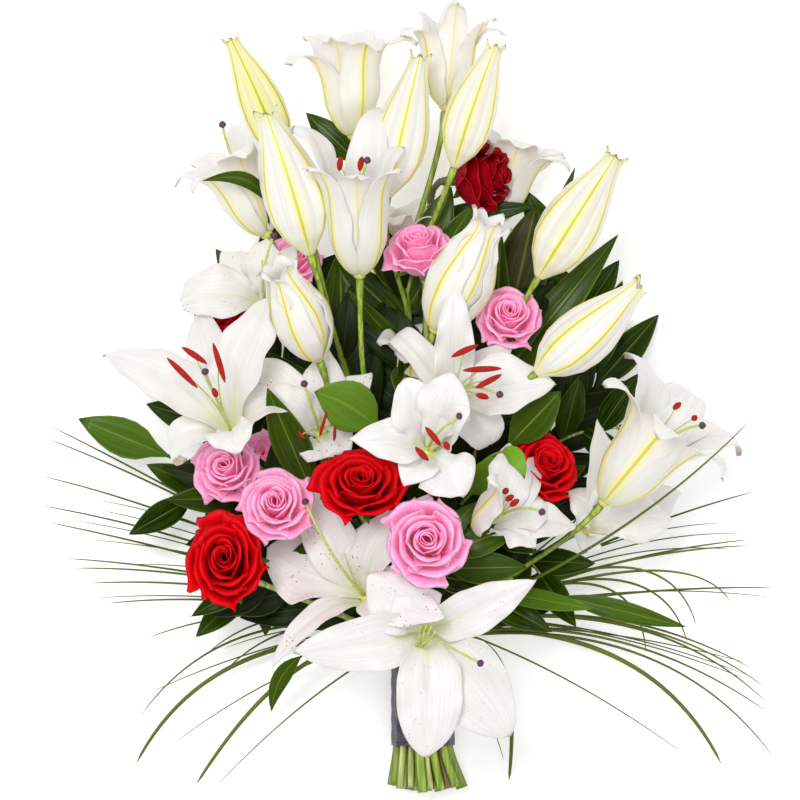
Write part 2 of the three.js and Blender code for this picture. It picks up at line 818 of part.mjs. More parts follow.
// Lily stems: neck is the top of the stalk, and each bloom hangs on a pedicel from a share of it.
// bends draws a pedicel toward a point, where another bloom pushes it aside.
const LILY_STEMS = [
  {
    name: "lily_stem_1",
    neck: [-66, 268, 56],
    blooms: { lily_bud_1: 1, lily_bud_2: 0.93, lily_half_open_4: 0.96, lily_open_7: 0.88 },
    leaves: [
      { at: 0.97, root: [-54, 408, 58], tip: [-90, 442, 56], width: 22 },
      { at: 0.8, tip: [-120, 262, 40], width: 22 },
      { at: 0.86, root: [-119, 346, 62], by: [-112, 404, 138], tip: [-167, 389, 118], width: 12 },
    ],
  },
  {
    name: "lily_stem_2",
    neck: [-14, 318, 52],
    blooms: {
      lily_half_open_1: 0.62,
      lily_bud_3: 0.92,
      lily_bud_4: 0.95,
      lily_half_open_2: 0.98,
      lily_half_open_3: 1,
    },
    bends: { lily_half_open_1: [-52, 200, 76] },
    leaves: [
      { at: 0.84, tip: [-58, 308, 80], width: 14 },
      { at: 0.78, tip: [-18, 262, 96], width: 14, arch: 14 },
      { at: 0.94, tip: [36, 372, 66], width: 30 },
      { at: 0.96, tip: [20, 386, 62], width: 28, arch: 12 },
      { at: 0.84, tip: [-20, 226, 98], width: 22, arch: 20 },
    ],
  },
  {
    name: "lily_stem_3",
    neck: [54, 246, 56],
    blooms: { lily_bud_5: 0.97, lily_bud_6: 0.88, lily_bud_7: 0.92, lily_half_open_8: 1 },
    leaves: [
      { at: 0.96, tip: [146, 350, 66], width: 30, arch: 16 },
      { at: 0.99, tip: [114, 402, 60], width: 22 },
      { at: 0.98, tip: [84, 372, 70], width: 38, arch: 12 },
      { at: 0.94, tip: [58, 350, 74], width: 24, arch: 12 },
      { at: 0.9, tip: [100, 222, 118], width: 24, arch: 22 },
    ],
  },
  {
    name: "lily_stem_4",
    neck: [-80, 140, 52],
    blooms: { lily_open_1: 1, lily_open_2: 0.95, lily_bud_8: 0.9 },
    leaves: [{ at: 0.98, tip: [-118, 234, 140], width: 30, arch: 10 }],
  },
  {
    name: "lily_stem_5",
    neck: [66, 92, 52],
    blooms: { lily_half_open_5: 1, lily_half_open_6: 0.9, lily_half_open_7: 0.95 },
    leaves: [
      { at: 0.96, tip: [197, 54, 70], width: 17, arch: 16 },
      { at: 0.9, tip: [128, 68, 96], width: 16, arch: 24 },
      { at: 0.86, tip: [96, 50, 64], width: 24, arch: 14 },
    ],
  },
  {
    name: "lily_stem_6",
    neck: [-12, 52, 84],
    blooms: { lily_open_5: 0.92, lily_open_6: 1 },
    leaves: [{ at: 0.9, by: [-112, 52, 66], tip: [-116, -11, 40], width: 14 }],
  },
  {
    name: "lily_stem_7",
    neck: [14, 150, 78],
    blooms: { lily_open_3: 1, lily_open_4: 0.92 },
    leaves: [
      { at: 0.9, tip: [60, 184, 116], width: 24, arch: 12 },
      { at: 0.95, tip: [102, 232, 126], width: 30, arch: 20 },
      { at: 0.97, by: [64, 216, 182], tip: [74, 166, 174], width: 14 },
      { at: 0.93, by: [-30, 219, 136], tip: [-83, 231, 134], width: 40 },
      { at: 0.8, tip: [-38, 100, 76], width: 18, arch: 14 },
    ],
  },
];

const ROSE_LEAVES = {
  rose_red_1: [{ at: 0.9, tip: [84, 372, 44], width: 20 }],
  rose_red_2: [{ at: 0.86, tip: [-100, 110, 92], width: 22 }],
  rose_red_3: [{ at: 0.86, tip: [-176, 62, 84], width: 18 }],
  rose_red_4: [
    { at: 0.88, tip: [122, 176, 76], width: 24 },
    { at: 0.8, tip: [84, 110, 92], width: 26, arch: 16 },
  ],
  rose_pink_1: [{ at: 0.9, tip: [30, 344, 60], width: 22 }],
  rose_pink_2: [{ at: 0.9, tip: [96, 300, 66], width: 22 }],
  rose_pink_3: [{ at: 0.88, tip: [-196, 150, 74], width: 24 }],
  rose_pink_4: [{ at: 0.88, tip: [-172, 134, 100], width: 16, arch: 20 }],
  rose_pink_5: [
    { at: 0.84, tip: [72, 132, 118], width: 26, arch: 22 },
    { at: 0.8, tip: [76, 100, 116], width: 26, arch: 22 },
    { at: 0.78, tip: [52, 84, 112], width: 22, arch: 18 },
  ],
};

// Broad-leaved greenery at the back. Twigs branch from a share of the main stem.
const RUSCUS = [
  {
    name: "ruscus_left",
    neck: [-140, 236, 16],
    twigs: [
      { at: 0.72, end: [-184, 146, 40], leaves: 5 },
      { at: 0.56, end: [-140, 78, 36], leaves: 4 },
      { at: 0.9, end: [-120, 330, 14], leaves: 4 },
    ],
    leaves: [
      { at: 0.62, tip: [-262, 211, 52], width: 27, arch: 18 },
      { at: 0.8, tip: [-216, 250, -2], width: 26, arch: 12 },
      { at: 0.86, tip: [-84, 306, -2], width: 26, arch: 12 },
      { at: 0.74, tip: [-46, 250, -2], width: 26, arch: 14 },
      { at: 1, tip: [-176, 300, 20], width: 26 },
    ],
  },
  {
    name: "ruscus_right",
    neck: [128, 250, 18],
    twigs: [
      { at: 0.76, end: [166, 204, 36], leaves: 5 },
      { at: 0.56, end: [88, 92, 34], leaves: 4 },
      { at: 0.92, end: [96, 344, 20], leaves: 4 },
    ],
    leaves: [
      { at: 0.68, tip: [186, 150, -2], width: 26, arch: 14 },
      { at: 0.84, tip: [178, 290, -2], width: 26, arch: 12 },
      { at: 0.8, tip: [60, 300, -2], width: 26, arch: 12 },
      { at: 0.66, tip: [30, 214, -2], width: 26, arch: 14 },
      { at: 1, tip: [150, 316, 24], width: 26 },
    ],
  },
];

// Bear grass: one tuft to each side, each blade named by where it ends
const GRASS = [
  {
    name: "bear_grass_left",
    neck: [-46, 74, 10],
    tips: [
      [-283, 205, 30],
      [-285, 196, 60],
      [-289, 167, 24],
      [-289, 145, 44],
      [-285, 132, 16],
      [-272, 105, 30],
      [-266, 98, 52],
      [-255, 86, 20],
      [-241, 71, 36],
      [-209, 45, 14],
      [-215, -14, 30],
      [-164, 34, 50],
      [-152, 19, 12],
      [-219, -51, 20],
      [-173, -66, 40],
    ],
  },
  {
    name: "bear_grass_right",
    neck: [46, 74, 10],
    tips: [
      [242, 210, 172],
      [248, 155, 22],
      [245, 115, 52],
      [246, 119, 16],
      [264, 83, 34],
      [257, 8, 56],
      [259, -4, 20],
      [247, 22, 40],
      [225, -51, 18],
      [258, -10, 66],
      [264, -45, 30],
      [64, -64, 12],
    ],
  },
];

// Assembly: each part is made solid, then cut clear of the parts that come before it.
// A part's body is its main solid; its blades are cut clear of every body, then joined to it.
const parts = [];

function addPart(name, material, group, body, blades = []) {
  parts.push({ name, material, group, body, blades });
}

const baseSeat = (base, axis) =>
  vector(base).addScaledVector(vector(axis).normalize(), -GAP - 0.1).toArray();
const neckOf = (base, axis, neck = NECK) =>
  vector(base).addScaledVector(vector(axis).normalize(), -neck).toArray();

const blooms = new Map();
BUDS.forEach((bud) => {
  const axis = vector(bud.tip).sub(vector(bud.base)).toArray();
  blooms.set(bud.name, { base: bud.base, axis });
});
LILIES.forEach((lily) => blooms.set(lily.name, lily));

// Every stem that runs through the tie, with its place in it
const stems = [
  ...ROSES.map(({ name, base, axis }) => ({
    name,
    radius: ROSE_STEM_RADIUS,
    neck: neckOf(base, axis),
    end: baseSeat(base, axis),
  })),
  ...LILY_STEMS.map(({ name, neck }) => ({ name, radius: LILY_STEM_RADIUS, neck })),
  ...RUSCUS.map(({ name, neck }) => ({ name, radius: RUSCUS_STEM_RADIUS, neck })),
  ...GRASS.map(({ name, neck }) => ({ name, radius: TUFT_RADIUS, neck })),
];
packTie(stems).forEach((place, index) => {
  stems[index].place = place;
  stems[index].path = stemPath(stems[index]);
});
const stemNamed = (name) => stems.find((stem) => stem.name === name);

// The ribbon is drawn tight round the bundle, so its outline is the bundle's hull
function ribbonOutline(offset) {
  const supports = [];
  for (let side = 0; side < RIBBON_SIDES; side++) {
    const angle = (side / RIBBON_SIDES) * 2 * Math.PI;
    const direction = [Math.cos(angle), Math.sin(angle)];
    const reach = Math.max(
      ...stems.map(({ place, radius }) => place[0] * direction[0] + place[1] * direction[1] + radius),
    );
    supports.push({ angle, reach: reach + offset });
  }
  return supports.map((one, index) => {
    const two = supports[(index + 1) % RIBBON_SIDES];
    const turn = Math.sin(two.angle - one.angle);
    return [
      (one.reach * Math.sin(two.angle) - two.reach * Math.sin(one.angle)) / turn,
      (two.reach * Math.cos(one.angle) - one.reach * Math.cos(two.angle)) / turn,
    ];
  });
}

function ribbonBody(grow = 0) {
  const ring = (offset, low, high) =>
    loft([low, high].map((y) => ribbonOutline(offset).map(([x, z]) => new THREE.Vector3(x, y, z))));
  const outer = GAP + RIBBON_THICKNESS + grow;
  const band = ring(outer, TIE_LOW - grow, RIBBON_HIGH + grow).subtract(
    ring(GAP - grow, TIE_LOW - 5, RIBBON_HIGH + 5),
  );
  const top = Math.max(...stems.map(({ place, radius }) => place[1] + radius)) + GAP;
  const knot = new THREE.CatmullRomCurve3(
    [[-9, -6, top + 0.5], [-4, -6, top + 5], [4, -8, top + 5], [9, -8, top + 0.5]].map(vector),
  );
  const tail = (side, long) =>
    blade(
      leafSurface({
        root: [side * 2, -8, top + 3],
        tip: [side * 13, -8 - long, top + 7],
        width: 22,
        arch: 2,
        fold: 6,
      }),
      TAIL_STATIONS,
      RIBBON_THICKNESS,
      grow,
    );
  return joined([band, bar(knot, KNOT_RADIUS, CORE_SIDES, 4, grow), tail(-1, 40), tail(1, 34)]);
}

addPart("ribbon_tie", SATIN, "tie", ribbonBody);

function rootedLeaves(path, leaves) {
  return leaves.map(({ at, ...leaf }) => (grow) =>
    leafShape({ root: path.getPointAt(Math.min(at, 0.985)).toArray(), ...leaf }, grow),
  );
}

// A rose's stem widens where it carries the bloom
ROSES.filter(({ whole }) => !whole).forEach((rose) => {
  const stem = stemNamed(rose.name);
  const widened = (t) => (t > 0.97 ? ROSE_SEAT_RADIUS : stem.radius);
  addPart(
    rose.name.replace("rose_", "rose_stem_"),
    WOODY_GREEN,
    "stems",
    (grow) => bar(stem.path, widened, STEM_SIDES, STEM_STEPS, grow),
    rootedLeaves(stem.path, ROSE_LEAVES[rose.name]),
  );
});

function pedicel(stem, share, name, bend) {
  const { base, axis } = blooms.get(name);
  const from = stem.path.getPointAt(share);
  const along = stem.path.getTangentAt(share);
  const end = vector(baseSeat(base, axis));
  const span = from.distanceTo(end);
  return new THREE.CubicBezierCurve3(
    from,
    bend ? vector(bend) : from.clone().addScaledVector(along, span * 0.2),
    end.clone().addScaledVector(vector(axis).normalize(), -span * 0.35),
    end,
  );
}

LILY_STEMS.forEach(({ name, blooms: carried, bends = {}, leaves }) => {
  const stem = stemNamed(name);
  addPart(
    name,
    STEM_GREEN,
    "stems",
    (grow) =>
      joined([
        bar(stem.path, (t) => stem.radius * mix(1, 0.8, t), STEM_SIDES, STEM_STEPS, grow),
        ...Object.entries(carried).map(([bloom, share]) =>
          bar(pedicel(stem, share, bloom, bends[bloom]), PEDICEL_RADIUS, FINE_SIDES, 3, grow),
        ),
      ]),
    rootedLeaves(stem.path, leaves),
  );
});

RUSCUS.forEach(({ name, twigs, leaves }) => {
  const stem = stemNamed(name);
  const twigPaths = twigs.map(({ at, end }) => {
    const from = stem.path.getPointAt(at);
    const along = stem.path.getTangentAt(at);
    const middle = from.clone().addScaledVector(along, from.distanceTo(vector(end)) * 0.4);
    return new THREE.QuadraticBezierCurve3(from, middle, vector(end));
  });
  const twigLeaves = twigs.flatMap(({ leaves: count }, index) =>
    Array.from({ length: count }, (_, leaf) => (grow) => {
      const path = twigPaths[index];
      const share = mix(0.3, 0.96, leaf / (count - 1));
      const root = path.getPointAt(share);
      const along = path.getTangentAt(Math.min(share, 0.98));
      const side = along.clone().cross(UP).normalize();
      const hand = leaf === count - 1 ? 0 : leaf % 2 ? 1 : -1;
      const tip = root
        .clone()
        .addScaledVector(along, hand ? 34 : 52)
        .addScaledVector(side, hand * 38)
        .addScaledVector(UP, 8 + 5 * hand);
      return leafShape({ root: root.toArray(), tip: tip.toArray(), width: 22, arch: 6 }, grow);
    }),
  );
  addPart(
    name,
    LEAF_GREEN,
    "greenery",
    (grow) =>
      joined([
        bar(stem.path, (t) => stem.radius * mix(1, 0.75, t), STEM_SIDES, 9, grow),
        ...twigPaths.map((path) => bar(path, TWIG_RADIUS, FINE_SIDES, 3, grow)),
      ]),
    [...rootedLeaves(stem.path, leaves), ...twigLeaves],
  );
});

STAMENS.forEach(({ name, lily, ...shape }) => {
  const { base, axis } = blooms.get(lily);
  addPart(name, ANTHER_RED, "lilies", (grow) => stamenShape({ base, axis, ...shape }, grow));
});

// A rose that is mostly hidden is one solid with its stem
ROSES.forEach((rose) => {
  const material = rose.name.includes("red") ? RED : PINK;
  const stem = stemNamed(rose.name);
  const frame = flowerFrame(rose.axis);
  const ownStem = (grow) => [
    bar(stem.path, stem.radius, STEM_SIDES, STEM_STEPS, grow),
    receptacle(neckOf(rose.base, rose.axis, 2), frame, 4, ROSE_SEAT_RADIUS, CORE_SIDES, grow),
  ];
  addPart(rose.name, material, "roses", (grow) =>
    joined([roseShape(rose, grow), ...(rose.whole ? ownStem(grow) : [])]),
  );
});

BUDS.forEach((bud) => addPart(bud.name, BUD_WHITE, "lilies", (grow) => budShape(bud, grow)));
LILIES.forEach((lily) => addPart(lily.name, WHITE, "lilies", (grow) => lilyShape(lily, grow)));

const thinned = (t) => GRASS_RADIUS * mix(1.1, 0.5, t);

GRASS.forEach(({ name, tips }) => {
  const stem = stemNamed(name);
  const bladePaths = tips.map((tip, index) => {
    const from = stem.path.getPointAt(mix(0.97, 0.72, index / tips.length));
    const end = vector(tip);
    const middle = from.clone().add(end).multiplyScalar(0.5);
    const droop = clamp((DROOP_FROM - end.y) / DROOP_SPAN, 0, 1);
    const aside = DROOP_REACH * droop * Math.abs(Math.sin(index * 1.3 + 0.6));
    middle.x += Math.sign(end.x) * aside;
    middle.y += GRASS_SAG * (0.3 + 0.5 * Math.abs(Math.sin(index * 2.4)) + 1.7 * droop);
    middle.z += 6 + 10 * Math.abs(Math.sin(index * 1.7));
    if (end.z > OVER_FLOWERS) middle.add(vector(OVER_BEND));
    return new THREE.QuadraticBezierCurve3(from, middle, end);
  });
  addPart(
    name,
    GRASS_GREEN,
    "greenery",
    (grow) => bar(stem.path, (t) => stem.radius * mix(1, 0.7, t), STEM_SIDES, 6, grow),
    bladePaths.map((path) => (grow) => bar(path, thinned, FINE_SIDES, 3, grow)),
  );
});

// The surface that the bouquet lies on takes a flat off whatever would reach below it
const table = new THREE.BoxGeometry(900, 900, 40).translate(0, 200, -20);

function solidOfGeometry(geometry) {
  const position = geometry.getAttribute("position");
  const found = new Map();
  const points = [];
  const indexOf = (index) => {
    const point = new THREE.Vector3().fromBufferAttribute(position, index);
    const key = point.toArray().join(" ");
    if (!found.has(key)) found.set(key, points.push(point) - 1);
    return found.get(key);
  };
  const faces = [];
  for (let index = 0; index < geometry.index.count; index += 3) {
    faces.push([0, 1, 2].map((corner) => indexOf(geometry.index.getX(index + corner))));
  }
  return solidFrom(points, faces);
}
const tableSolid = solidOfGeometry(table);

const boxesMeet = (one, two) =>
  [0, 1, 2].every((axis) => one.min[axis] <= two.max[axis] && two.min[axis] <= one.max[axis]);

function largest(solid) {
  const bodies = solid.decompose();
  return bodies.reduce((best, body) => (body.volume() > best.volume() ? body : best), bodies[0]);
}

// Vertices that a cut has left closer than the weld are made one, and what that parts is dropped
function welded(solid) {
  const { vertProperties, triVerts } = solid.simplify(WELD).getMesh();
  const geometry = new THREE.BufferGeometry();
  geometry.setAttribute("position", new THREE.BufferAttribute(vertProperties, 3));
  geometry.setIndex(new THREE.BufferAttribute(triVerts, 1));
  const merged = mergeVertices(geometry, WELD);
  const position = merged.getAttribute("position");
  const points = Array.from({ length: position.count }, (_, index) =>
    new THREE.Vector3().fromBufferAttribute(position, index),
  );
  const corners = Array.from(merged.index.array);
  const faces = [];
  for (let index = 0; index < corners.length; index += 3) {
    const [a, b, c] = corners.slice(index, index + 3);
    if (a !== b && b !== c && a !== c) faces.push([a, b, c]);
  }
  return largest(solidFrom(points, faces));
}

const finished = [];

function cutClear(solid, own) {
  return finished.reduce((cut, { part, clearance }) => {
    const meets = part !== own && boxesMeet(cut.boundingBox(), clearance.boundingBox());
    return meets ? cut.subtract(clearance) : cut;
  }, solid);
}

parts.forEach((part) => {
  part.solid = largest(cutClear(part.body(0), part).subtract(tableSolid));
  finished.push({ part, clearance: part.body(GAP) });
});

// A leaf keeps what still meets its stem after the cut
const ROOT_VOLUME = 0.01;
parts.forEach((part) => {
  part.blades.forEach((make) => {
    const pieces = cutClear(make(0), part).subtract(tableSolid).decompose();
    const rooted = pieces.filter((piece) => piece.intersect(part.solid).volume() > ROOT_VOLUME);
    if (rooted.length === 0) return;
    part.solid = part.solid.add(joined(rooted));
    finished.push({ part, clearance: make(GAP) });
  });
  part.solid = welded(largest(part.solid));
});

const bouquet = new THREE.Group();
const groups = new Map();
parts.forEach(({ name, material, group, solid }) => {
  const { vertProperties, triVerts } = solid.getMesh();
  const geometry = new THREE.BufferGeometry();
  geometry.setAttribute("position", new THREE.BufferAttribute(new Float32Array(vertProperties), 3));
  geometry.setIndex(new THREE.BufferAttribute(new Uint32Array(triVerts), 1));
  const mesh = new THREE.Mesh(geometry, new THREE.MeshStandardMaterial({ ...material, metalness: 0 }));
  mesh.name = name;
  if (!groups.has(group)) {
    groups.set(group, new THREE.Group());
    bouquet.add(groups.get(group));
  }
  groups.get(group).add(mesh);
});

export default bouquet;
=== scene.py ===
import math
import random

import bpy
import numpy as np
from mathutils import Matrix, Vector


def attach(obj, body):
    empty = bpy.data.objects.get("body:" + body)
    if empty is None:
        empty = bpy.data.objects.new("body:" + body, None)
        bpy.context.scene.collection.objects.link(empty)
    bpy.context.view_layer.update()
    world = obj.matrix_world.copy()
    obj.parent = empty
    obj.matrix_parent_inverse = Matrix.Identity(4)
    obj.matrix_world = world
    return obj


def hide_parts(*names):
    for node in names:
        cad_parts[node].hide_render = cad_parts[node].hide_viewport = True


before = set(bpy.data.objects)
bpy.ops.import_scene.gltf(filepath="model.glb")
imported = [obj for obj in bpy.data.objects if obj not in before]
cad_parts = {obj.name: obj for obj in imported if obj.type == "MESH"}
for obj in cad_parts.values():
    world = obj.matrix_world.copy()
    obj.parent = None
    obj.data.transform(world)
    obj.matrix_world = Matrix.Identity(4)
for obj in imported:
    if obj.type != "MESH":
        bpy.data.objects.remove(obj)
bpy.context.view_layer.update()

MM = 0.001
UP = np.array([0.0, 0.0, 1.0])
TURN = 2 * math.pi

# Driving dimensions, as the solids have them
ROSE_STEM_RADIUS = 2.7
LILY_STEM_RADIUS = 3.6
PEDICEL_RADIUS = 2.2
RUSCUS_STEM_RADIUS = 2.0
TUFT_RADIUS = 4.5
TWIG_RADIUS = 1.6
CUT_Y = -73.0
UNEVEN_CUT = 3.0
ROUNDED_CUT = 0.012
TIE_LOW = -37.0
TIE_HIGH = 30.0
RIBBON_HIGH = 23.0
TIE_SPREAD = 22.0
BUNDLE_CENTRE = 14.0
BUNDLE_REACH = 34.0
FLARE = 1.42
LEANING = 4.0
NECK = 20.0
GAP = 0.35
SEAT = GAP + 0.1
RIBBON_THICKNESS = 1.2
GRASS_SAG = 26.0
DROOP_FROM = 90.0
DROOP_SPAN = 130.0
DROOP_REACH = 46.0
OVER_FLOWERS = 100.0
OVER_BEND = np.array([14.0, -26.0, 80.0])

# Height under which a piece is pressed up by the table, so that none goes through it
RESTING = 4.0

# Finer thicknesses than the solids'
PETAL = 0.9
ROSE_PETAL = 0.7
SEPAL = 0.6
LEAF = 0.7
CLOTH = 0.5

# Rows along and columns across of each kind of blade
LILY_GRID = (36, 17)
ROSE_GRID = (17, 15)
SEPAL_GRID = (10, 5)
LEAF_GRID = (22, 9)
TAIL_GRID = (20, 9)


# Small geometry
def vector(point):
    return np.array(point, dtype=float)


def unit(value):
    return value / max(np.linalg.norm(value), 1e-12)


def mix(a, b, t):
    return a + (b - a) * t


def lengths(rows):
    return np.linalg.norm(rows, axis=-1, keepdims=True)


def within(value):
    return np.clip(value, 0, 1)


def seed_of(name):
    return sum(ord(letter) * (place + 3) for place, letter in enumerate(name))


def keyed(keys, t):
    """A smooth value through evenly spaced keys."""
    place = within(t) * (len(keys) - 1)
    index = np.minimum(np.floor(place).astype(int), len(keys) - 2)
    part = place - index
    keys = np.asarray(keys, dtype=float)
    return mix(keys[index], keys[index + 1], part * part * (3 - 2 * part))


def flower_frame(axis):
    """Three directions of a flower: its axis, the one that turn 0 points to, and turn 90."""
    along = unit(vector(axis))
    right = np.array([1.0, 0.0, 0.0])
    first = unit(right - along * right.dot(along) if abs(along[2]) > 0.6 else np.cross(along, UP))
    return along, first, np.cross(along, first)


class Path:
    """A curve as a fine row of points, read by its share of the length."""

    def __init__(self, points):
        self.points = np.asarray(points, dtype=float)
        steps = np.linalg.norm(np.diff(self.points, axis=0), axis=1)
        self.lengths = np.concatenate([[0], np.cumsum(steps)])
        self.length = self.lengths[-1]

    def at(self, share):
        place = within(share) * self.length
        return np.stack([np.interp(place, self.lengths, self.points[:, k]) for k in range(3)], axis=-1)

    def tangent(self, share):
        step = 0.004
        return unit(self.at(min(share + step, 1)) - self.at(max(share - step, 0)))


def bezier(*points):
    """A quadratic or cubic curve."""
    t = np.linspace(0, 1, 121)[:, None]
    rows = [vector(point)[None, :] + 0 * t for point in points]
    while len(rows) > 1:
        rows = [mix(a, b, t) for a, b in zip(rows, rows[1:])]
    return Path(rows[0])


def spline(points):
    """A centripetal Catmull-Rom curve through the points."""
    points = [vector(point) for point in points]
    points = [2 * points[0] - points[1], *points, 2 * points[-1] - points[-2]]
    made = [points[1]]
    for a, b, c, d in zip(points, points[1:], points[2:], points[3:]):
        one, two, three = (math.sqrt(np.linalg.norm(q - p)) for p, q in ((a, b), (b, c), (c, d)))
        start = ((b - a) / one - (c - a) / (one + two) + (c - b) / two) * two
        end = ((c - b) / two - (d - b) / (two + three) + (d - c) / three) * two
        for t in np.linspace(0, 1, 25)[1:]:
            square, cube = t * t, t * t * t
            made.append(
                (2 * cube - 3 * square + 1) * b
                + (cube - 2 * square + t) * start
                + (3 * square - 2 * cube) * c
                + (cube - square) * end
            )
    return Path(made)


# Meshes
class Pile:
    """Gathers small grids and tubes into one mesh, with a UV (across, along) and a tone:
    red is 1 on a blade's second face, green and blue are free for the material."""

    def __init__(self):
        self.points = []
        self.faces = []
        self.uvs = []
        self.tones = []
        self.count = 0

    def add(self, points, faces, uvs, tones):
        low = np.minimum(points[:, 2], RESTING)
        points[:, 2] += RESTING * np.exp(low / RESTING - 1) - low
        self.points.append(points)
        self.faces.extend((np.asarray(face) + self.count).tolist() for face in faces)
        self.uvs.append(uvs)
        self.tones.append(tones)
        self.count += len(points)

    def blade(self, surface, grid, thickness, tone=(0.0, 0.0)):
        """A thin closed blade over a surface of u along and v across, sharp at its rim."""
        rows, columns = grid
        v = np.sin(np.linspace(-math.pi / 2, math.pi / 2, columns))
        along, across = np.meshgrid(np.linspace(0, 0.997, rows), v, indexing="ij")
        middle = surface(along, across)
        step = 0.012
        inside = np.clip(along, 0.02, 0.96)
        by_u = surface(inside + step, across) - surface(inside - step, across)
        wide = np.clip(across, -0.94, 0.94)
        by_v = surface(inside, wide + 0.06) - surface(inside, wide - 0.06)
        normal = np.cross(by_u, by_v)
        normal /= np.maximum(np.linalg.norm(normal, axis=2, keepdims=True), 1e-9)
        inner = np.zeros((rows, columns), dtype=bool)
        inner[1:-1, 1:-1] = True
        thick = normal * inner[..., None] * (thickness / 2)
        total = rows * columns
        top = np.arange(total).reshape(rows, columns)
        bottom = top.copy()
        bottom[inner] = total + np.arange(inner.sum())
        points = np.concatenate([(middle + thick).reshape(-1, 3), (middle - thick)[inner]])
        flat_uv = np.stack([across / 2 + 0.5, along], axis=2)
        uvs = np.concatenate([flat_uv.reshape(-1, 2), flat_uv[inner]])
        tones = np.tile([0.5, *tone, 1.0], (len(points), 1))
        tones[top[inner], 0] = 0
        tones[total:, 0] = 1
        faces = []
        for sheet, order in ((top, (0, 3, 2, 1)), (bottom, (0, 1, 2, 3))):
            corners = [sheet[:-1, :-1], sheet[:-1, 1:], sheet[1:, 1:], sheet[1:, :-1]]
            faces.extend(np.stack(corners, axis=2).reshape(-1, 4)[:, order])
        self.add(points, faces, uvs, tones)

    def tube(self, path, radius, sides=8, steps=16, tone=(0.0, 0.0), flat=1.0):
        """A round or flattened bar along a path; the radius follows a share of the length."""
        side = np.cross(path.tangent(0), UP)
        if np.linalg.norm(side) < 0.2:
            side = np.cross(path.tangent(0), [1.0, 0.0, 0.0])
        side = unit(side)
        angles = np.arange(sides)[:, None] / sides * TURN
        rings = []
        for share in np.linspace(0, 1, steps + 1):
            tangent = path.tangent(share)
            side = unit(side - tangent * side.dot(tangent))
            over = np.cross(side, tangent)
            around = np.cos(angles) * side + np.sin(angles) * over * flat
            rings.append(path.at(share) + radius(share) * around)
        self.rings(rings, tone)

    def rings(self, rings, tone=(0.0, 0.0), joined=False):
        """A skin over closed rings of points, joined end to start or capped at both ends."""
        rings = np.array(rings)
        count, sides = rings.shape[:2]
        points = rings.reshape(-1, 3)
        around = np.tile(np.arange(sides) / sides, count)
        along = np.repeat(np.linspace(0, 1, count), sides)
        tones = np.tile([1.0, *tone, 1.0], (len(points), 1))
        grid = np.arange(count * sides).reshape(count, sides)
        ends = [] if joined else [grid[0][::-1], grid[-1]]
        if joined:
            grid = np.concatenate([grid, grid[:1]])
        following = np.roll(grid, -1, axis=1)
        quads = np.stack([grid[:-1], following[:-1], following[1:], grid[1:]], axis=2)
        self.add(points, [*quads.reshape(-1, 4), *ends], np.stack([around, along], axis=1), tones)

    def piece(self, name, material, node):
        points = np.concatenate(self.points) * MM
        mesh = bpy.data.meshes.new(name)
        mesh.from_pydata(points.tolist(), [], self.faces)
        corners = np.zeros(len(mesh.loops), dtype=int)
        mesh.loops.foreach_get("vertex_index", corners)
        layer = mesh.uv_layers.new(name="across_along")
        layer.data.foreach_set("uv", np.concatenate(self.uvs)[corners].ravel())
        tone = mesh.attributes.new("tone", "FLOAT_COLOR", "POINT")
        tone.data.foreach_set("color", np.concatenate(self.tones).ravel())
        mesh.polygons.foreach_set("use_smooth", [True] * len(mesh.polygons))
        mesh.materials.append(material)
        mesh.update()
        made = shown(name, mesh)
        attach(made, "root")
        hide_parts(node)
        return made


def shown(name, data):
    made = bpy.data.objects.new(name, data)
    bpy.context.scene.collection.objects.link(made)
    return made


